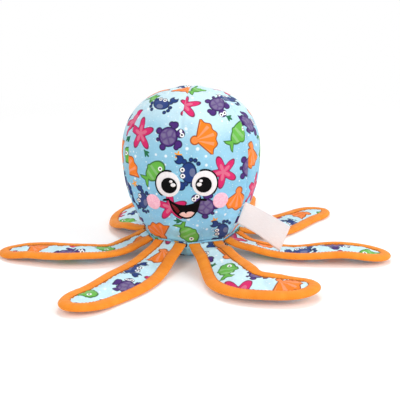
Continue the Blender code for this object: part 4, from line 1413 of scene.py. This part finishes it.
def pinkPrint():
    # matt pink ink on the pile, with the pile's bump showing through, painted shade darkening the pink in
    # its hollows, and a soft edge
    material, tree, shader = newMaterial("pinkPilePrint")
    where = addNode(tree, "ShaderNodeTexCoord").outputs["Object"]
    tufts = addNode(tree, "ShaderNodeTexNoise", {
        "Vector": where, "Scale": 1 / (plush["pilePitch"] * mm), "Detail": 2.0})
    tone = addNode(tree, "ShaderNodeMapRange", (tufts.outputs[0], 0.35, 0.65, 0.0, 1.0))
    colour = addNode(tree, "ShaderNodeMix", {
        0: tone, 6: linear(plush["cheekHollowShade"]), 7: linear(plush["cheek"])}, data_type="RGBA")
    bump = addNode(tree, "ShaderNodeBump", {
        "Strength": 0.4, "Distance": 0.3 * mm, "Height": tufts.outputs[0]})
    setInputs(tree, shader, {
        "Base Color": colour.outputs[2], "Normal": bump, "Roughness": 0.85, "Sheen Weight": 0.2,
        "Specular IOR Level": 0.25})
    return material


pinkPile = pinkPrint()


def patchFromRings(name, rings, middle, layer, material, node):
    # rings of places on the face, from the rim inwards, made into a domed closed patch
    low, thickness = face["sunk"], face["thickness"]
    high = layer * thickness
    mesh = bmesh.new()
    uv = mesh.loops.layers.uv.new("cloth")
    where = {}
    count = len(rings[0])

    def spot(place, lift):
        vert = mesh.verts.new(facePoint(place[0], place[1], lift))
        where[vert] = (place[0] / mm / clothUnit, place[1] / mm / clothUnit)
        return vert

    profile = [0.35, 0.8, 0.97] + [1.0] * len(rings)
    under = [spot(p, low) for p in rings[0]]
    made = [[spot(p, high + thickness * profile[k]) for p in ring] for k, ring in enumerate(rings)]
    crown = spot(middle, high + thickness)
    floor = spot(middle, low)
    faces = []
    for i in range(count):
        k = (i + 1) % count
        faces.append((under[i], under[k], made[0][k], made[0][i]))
        for one, two in zip(made, made[1:]):
            faces.append((one[i], one[k], two[k], two[i]))
        faces.append((made[-1][i], made[-1][k], crown))
        faces.append((under[k], under[i], floor))
    for corners in faces:
        for loop in mesh.faces.new(corners).loops:
            loop[uv].uv = where[loop.vert]
    piece = finishPiece(name, mesh, material)
    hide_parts(node)
    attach(piece, "head")


def oval(centre, width, height, count=48):
    return [(centre[0] + math.cos(2 * math.pi * k / count) * width / 2,
             centre[1] + math.sin(2 * math.pi * k / count) * height / 2) for k in range(count)]


def ovalPatch(name, centre, width, height, layer, material, node):
    edge = face["roundEdge"]
    rings = [oval(centre, width - inset * edge, height - inset * edge) for inset in (0, 1, 2.2)]
    rings += [oval(centre, width * share, height * share) for share in (0.7, 0.45, 0.2)]
    patchFromRings(name, rings, centre, layer, material, node)


def curveThrough(points, count):
    # a smooth run through the points
    before = [2 * a - b for a, b in zip(points[0], points[1])]
    after = [2 * a - b for a, b in zip(points[-1], points[-2])]
    p = [np.array(q, float) for q in (before, *points, after)]
    out = []
    spans = len(points) - 1
    for k in range(count + 1):
        place = spans * k / count
        j = min(int(place), spans - 1)
        t = place - j
        a, b, c, d = p[j:j + 4]
        out.append(0.5 * (2 * b + (c - a) * t + (2 * a - 5 * b + 4 * c - d) * t ** 2
                          + (3 * b - a - 3 * c + d) * t ** 3))
    return out


def bandPatch(name, upper, lower, layer, material, node, count=40, rows=10):
    # a patch between an upper and a lower edge, rounded down to the cloth all round
    one, two = curveThrough(upper, count), curveThrough(lower, count)
    steps = [0, 0.035, 0.09] + [0.09 + 0.82 * k / rows for k in range(1, rows)] + [0.91, 0.965, 1]
    outer, inner, places = [], [], []
    for k, (a, b) in enumerate(zip(one, two)):
        toEnd = min(k, count - k) / count * face["mouthWidth"]
        top, low, where = [], [], []
        for share in steps:
            place = a + (b - a) * share
            toEdge = min(share, 1 - share) * float(np.linalg.norm(b - a))
            away = min(toEdge, toEnd) / face["bandEdge"]
            rise = 0.25 + math.sqrt(max(0.0, 1 - (1 - min(away, 1)) ** 2)) * 0.75
            top.append(facePoint(place[0], place[1], (layer + rise) * face["thickness"]))
            low.append(facePoint(place[0], place[1], face["sunk"]))
            where.append((place[0] / mm, place[1] / mm))
        outer.append(top)
        inner.append(low)
        places.append(where)
    piece = closedSheet(name, outer, inner, places, material)
    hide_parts(node)
    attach(piece, "head")


def linePatch(name, path, width, layer, material, node, thinMiddle=False):
    # a stitched cord-like line with rounded shoulders and a narrowing end
    rings, places = [], []
    distance = 0.0
    thick = face["thickness"]
    for k, place in enumerate(path):
        before, after = Vector(path[max(k - 1, 0)]), Vector(path[min(k + 1, len(path) - 1)])
        run = (after - before).normalized()
        out = Vector((-run.y, run.x))
        ends = min(k, len(path) - 1 - k) / 3
        wide = width / 2 * (0.45 + 0.55 * math.sqrt(min(ends, 1)))
        if thinMiddle:
            wide *= 0.72 + 0.42 * abs(2 * k / (len(path) - 1) - 1)
        if k:
            distance += (Vector(place) - Vector(path[k - 1])).length
        section = [(side, (layer + lift) * thick) for side, lift in face["lineSection"]]
        section = [(-1, face["sunk"]), *section, (1, face["sunk"]), (0, face["sunk"])]
        ring, where = [], []
        for side, lift in section:
            spot = Vector(place) + out * wide * side
            ring.append(facePoint(spot.x, spot.y, lift))
            where.append((side * wide / mm, distance / mm))
        rings.append(ring)
        places.append(where)
    piece = closedRun(name, rings, places, material)
    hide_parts(node)
    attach(piece, "head")


def makeEye(side, hand):
    centre = (face["eyeShift"] + hand * face["eyeSpacing"] / 2, face["eyeRise"])
    wide, high = face["eyeWidth"], face["eyeHeight"]
    ovalPatch(side + "EyeWhite", centre, wide, high, 0, whiteStitch, side + "_eye_white")
    middle = (centre[0] - hand * face["pupilInset"], centre[1] - face["pupilDrop"])
    ovalPatch(side + "Pupil", middle, face["pupil"], face["pupil"], 1, blackStitch,
              side + "_pupil")
    for size, (inset, rise, width, height) in face["glints"].items():
        place = (middle[0] - hand * inset * mm, middle[1] + rise * mm)
        ovalPatch(side + "Eye" + size + "Glint", place, width * mm, height * mm, 2, whiteStitch,
                  f"{side}_eye_{size.lower()}_glint")
    reach = 1 + (face["rimWidth"] * 0.35) * 2 / wide
    path = []
    for k in range(face["rimSteps"] + 1):
        outward = face["rimStart"] - face["rimTurn"] * k / face["rimSteps"]
        angle = outward if hand > 0 else math.pi - outward
        path.append((centre[0] + math.cos(angle) * reach * wide / 2,
                     centre[1] + math.sin(angle) * reach * high / 2))
    linePatch(side + "EyeLine", path, face["rimWidth"], 0.4, blackStitch,
              side + "_eye_line", thinMiddle=True)
    cheek = (hand * face["cheekSpacing"] / 2, -face["cheekDrop"])
    ovalPatch(side + "Cheek", cheek, face["cheek"], face["cheek"], -0.4, pinkPile,
              side + "_cheek")


for side, hand in (("left", -1), ("right", 1)):
    makeEye(side, hand)

mouth = {    # edges as shares of half the mouth's width and of half its depth scale
    "upper": [(-1, 0.46), (-0.78, 0.29), (-0.5, 0.17), (-0.2, 0.11), (0.12, 0.11), (0.45, 0.17),
              (0.76, 0.28), (1, 0.43)],
    "lower": [(-0.97, 0.38), (-0.82, -0.06), (-0.6, -0.36), (-0.27, -0.54), (0.08, -0.59),
              (0.42, -0.5), (0.74, -0.18), (0.97, 0.35)],
    "redUpper": [(-0.8, 0.2), (-0.66, 0.13), (-0.5, 0.03), (-0.33, -0.17)],
    "redLower": [(-0.75, 0.1), (-0.67, -0.02), (-0.58, -0.15), (-0.45, -0.29)],
    "tongueUpper": [(-0.38, -0.33), (-0.21, -0.24), (-0.05, -0.235), (0.03, -0.31), (0.11, -0.23),
                    (0.34, -0.205), (0.54, -0.26)],
    "tongueLower": [(-0.35, -0.36), (-0.19, -0.43), (-0.07, -0.465), (0.05, -0.48), (0.15, -0.475),
                    (0.32, -0.44), (0.49, -0.32)],
}


def onMouth(edge):
    half, deep = face["mouthWidth"] / 2, face["mouthScale"] / 2
    return [(x * half + face["mouthShift"], y * deep - face["mouthDrop"]) for x, y in mouth[edge]]


bandPatch("mouth", onMouth("upper"), onMouth("lower"), 0, blackStitch, "mouth")
bandPatch("mouthRed", onMouth("redUpper"), onMouth("redLower"), 1, redStitch,
          "mouth_red", 12, 4)
bandPatch("tongue", onMouth("tongueUpper"), onMouth("tongueLower"), 1, tongueStitch,
          "tongue", 24, 4)
for side, end, hand in (("left", 0, -1), ("right", -1, 1)):
    corner = onMouth("upper")[end]
    begin = (corner[0] - hand * face["tickInset"], corner[1] - face["tickDrop"])
    path = []
    for k in range(face["tickSteps"] + 1):
        share = k / face["tickSteps"]
        path.append((begin[0] + hand * face["tickLength"] * share,
                     begin[1] + (0.3 - 0.9 * share * share) * mm))
    linePatch(side + "MouthTick", path, face["tickWidth"], 0.3, blackStitch,
              side + "_mouth_tick")
print("face made")

# Care label: a blank satin ribbon standing out from the side seam

label = {
    "length": 50 * mm,
    "width": 25 * mm,
    "thickness": 0.35 * mm,
    "height": 47 * mm,
    "gap": 0.3 * mm,              # to the head's cloth
    "swing": math.radians(24),
    "droop": math.radians(6),
    "sag": 5 * mm,
    "curl": 2.2 * mm,
    "wave": 0.9 * mm,
    "cup": 1.4 * mm,
    "columns": 40,
    "rows": 20,
    "selvedge": (10.9, 11.4),     # mm from the ribbon's middle
    "blendStart": 0.08,           # share of its length
    "colour": "#FBFAFC",
    "deep": "#EDEBEE",
}


def satinRibbon():
    # woven polyester satin: smooth, faintly glossy across the weave, with a selvedge along each edge
    material, tree, shader = newMaterial("satinRibbon")
    place = clothPlace(tree)
    fine = addNode(tree, "ShaderNodeVectorMath", (place, (0.25, 1.6, 1)), operation="MULTIPLY")
    weave = addNode(tree, "ShaderNodeTexNoise", {"Vector": fine, "Scale": 1.0, "Detail": 2.0})
    parts = addNode(tree, "ShaderNodeSeparateXYZ", (place,))
    edge = addNode(tree, "ShaderNodeMath", (parts.outputs["Y"],), operation="ABSOLUTE")
    edge = addNode(tree, "ShaderNodeMapRange", (edge, *label["selvedge"], 0.0, 1.0))
    tone = addNode(tree, "ShaderNodeMath", (edge, 0.5, weave.outputs[0]), operation="MULTIPLY_ADD")
    tone = addNode(tree, "ShaderNodeMapRange", (tone, 0.3, 1.1, 0.0, 1.0))
    colour = addNode(tree, "ShaderNodeMix", {
        0: tone, 6: linear(label["colour"]), 7: linear(label["deep"])}, data_type="RGBA")
    bump = addNode(tree, "ShaderNodeBump", {"Strength": 0.25, "Distance": 0.15 * mm, "Height": tone})
    setInputs(tree, shader, {
        "Base Color": colour.outputs[2], "Normal": bump, "Roughness": 0.48, "Sheen Weight": 0.1,
        "Anisotropic": 0.3})
    return material


def makeLabel():
    angle = head["frontHalf"]
    half = label["width"] / 2
    top, low = headPoint(angle, label["height"] + half), headPoint(angle, label["height"] - half)
    seam = (top - low).normalized()
    level = Vector((math.cos(angle), math.sin(angle), 0))
    out = level.cross(seam).normalized()
    if out.dot(around(angle, 1, 0)) < 0:
        out.negate()
    turned = Matrix.Rotation(label["swing"], 3, "Z")
    frameOf = Matrix((out, seam.cross(out), seam)).transposed()
    root = headPoint(angle, label["height"]) + out * label["gap"]
    grids = ([], [])
    places = []
    for i in range(label["columns"] + 1):
        share = i / label["columns"]
        reach = label["length"] * share
        where = []
        rows = ([], [])
        for j in range(label["rows"] + 1):
            cross = 2 * j / label["rows"] - 1
            drop = reach * math.sin(label["droop"]) + label["sag"] * share ** 2 * (0.6 - 0.4 * cross)
            bow = label["curl"] * math.sin(math.pi * share) * (0.7 + 0.3 * cross)
            bow += label["wave"] * math.sin(2.3 * math.pi * share + 0.8 * cross) * share
            bow -= label["cup"] * cross ** 2 * share
            along = reach * math.cos(label["droop"]) * (1 - 0.012 * share)
            for row, side in zip(rows, (1, -1)):
                flat = Vector((along, bow + side * label["thickness"] / 2, half * cross - drop))
                row.append(root + frameOf @ (turned @ flat))
            where.append((reach / mm, half * cross / mm))
        for grid, row in zip(grids, rows):
            grid.append(row)
        places.append(where)
    ribbon = closedSheet("careLabel", grids[0], grids[1], places, satinRibbon())
    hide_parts("care_label")
    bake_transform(ribbon)


makeLabel()
print("label made")

# Floor, light and camera

studio = {
    "floorColour": white,
    "floorHalf": 6.0,
    "floorDrop": 0.2 * mm,
    "whitening": 0.06,            # what the camera alone sees added to the floor
    "worldStrength": 0.5,
    "sweepStart": 0.35,           # metres from the toy at which the paper fades into plain white
    "sweepEnd": 1.1,
    # each lamp's place, size and watts
    "lamps": {
        "keyLight": ((-0.8, -1.4, 1.2), 1.0, 12.5),
        "fillLight": ((1.5, -0.5, 0.8), 1.3, 17),
        "topLight": ((0.1, 0.5, 1.8), 0.7, 11),
    },
    "lampTarget": (0, 0, 0.05),
    "cameraTurn": math.radians(4),
    "cameraRise": math.radians(16),
    "distance": 0.8,
    "lens": 69.9,
    "sensor": 36,
    "targetHeight": 13 * mm,
    "right": 8.8 * mm,
    "up": 34.7 * mm,
}
plainWhite = (1, 1, 1, 1)


def seenDirectly(tree):
    # 1 for the camera and for what glossy and clear surfaces show of the surroundings
    path = addNode(tree, "ShaderNodeLightPath").outputs
    seen = addNode(tree, "ShaderNodeMath", (path["Is Camera Ray"], path["Is Glossy Ray"]),
                   operation="MAXIMUM")
    return addNode(tree, "ShaderNodeMath", (seen, path["Is Transmission Ray"]), operation="MAXIMUM")


def makeFloor():
    # paper sweep: matt white, with the faintest grain
    material, tree = newMaterial("whitePaper")[:2]
    tree.nodes.clear()
    where = addNode(tree, "ShaderNodeTexCoord").outputs["Object"]
    grain = addNode(tree, "ShaderNodeTexNoise", {"Vector": where, "Scale": 400.0, "Detail": 3.0})
    dim = addNode(tree, "ShaderNodeMapRange", (grain.outputs[0], 0.3, 0.7, 0.985, 1.0))
    colour = addNode(tree, "ShaderNodeVectorMath", (linear(studio["floorColour"])[:3], dim),
                     operation="MULTIPLY")
    paper = addNode(tree, "ShaderNodeBsdfDiffuse", (colour,))
    light = addNode(tree, "ShaderNodeEmission", (plainWhite, studio["whitening"]))
    both = addNode(tree, "ShaderNodeAddShader", (paper, light))
    seen = seenDirectly(tree)
    mixed = addNode(tree, "ShaderNodeMixShader", (seen, paper, both))
    away = addNode(tree, "ShaderNodeVectorMath", (where,), operation="LENGTH").outputs["Value"]
    far = addNode(tree, "ShaderNodeMapRange", (away, studio["sweepStart"], studio["sweepEnd"], 0.0, 1.0),
                  interpolation_type="SMOOTHSTEP")
    far = addNode(tree, "ShaderNodeMath", (far, seen), operation="MULTIPLY")
    plain = addNode(tree, "ShaderNodeEmission", (plainWhite, 1.0))
    mixed = addNode(tree, "ShaderNodeMixShader", (far, mixed, plain))
    addNode(tree, "ShaderNodeOutputMaterial", (mixed,))
    mesh = bpy.data.meshes.new("floor")
    half, low = studio["floorHalf"], -studio["floorDrop"]
    corners = [(x * half, y * half, low) for x, y in ((-1, -1), (1, -1), (1, 1), (-1, 1))]
    mesh.from_pydata(corners, [], [(0, 1, 2, 3)])
    mesh.materials.append(material)
    addObject("floor", mesh)


makeFloor()

for name, (place, size, power) in studio["lamps"].items():
    lamp = bpy.data.lights.new(name, "AREA")
    lamp.shape = "SQUARE"
    lamp.size = size
    lamp.energy = power
    box = addObject(name, lamp)
    box.location = place
    box.rotation_euler = (Vector(studio["lampTarget"]) - Vector(place)).to_track_quat("-Z", "Y").to_euler()

world = bpy.data.worlds.new("studioWorld")
scene.world = world
world.use_nodes = True
tree = world.node_tree
tree.nodes.clear()
strength = addNode(tree, "ShaderNodeMapRange", (seenDirectly(tree), 0.0, 1.0, studio["worldStrength"], 1.0))
background = addNode(tree, "ShaderNodeBackground", (plainWhite, strength))
addNode(tree, "ShaderNodeOutputWorld", (background,))
scene.view_settings.view_transform = "Standard"

turn, rise = studio["cameraTurn"], studio["cameraRise"]
rightWay = Vector((math.cos(turn), math.sin(turn), 0))
backWay = Vector((math.sin(turn) * math.cos(rise), -math.cos(turn) * math.cos(rise), math.sin(rise)))
upWay = backWay.cross(rightWay)
target = Vector((0, 0, studio["targetHeight"])) + rightWay * studio["right"] + upWay * studio["up"]
camera = addObject("camera", bpy.data.cameras.new("camera"))
camera.data.lens = studio["lens"]
camera.data.sensor_width = studio["sensor"]
camera.location = target + backWay * studio["distance"]
camera.rotation_euler = (target - camera.location).to_track_quat("-Z", "Y").to_euler()
scene.camera = camera
print("studio set")
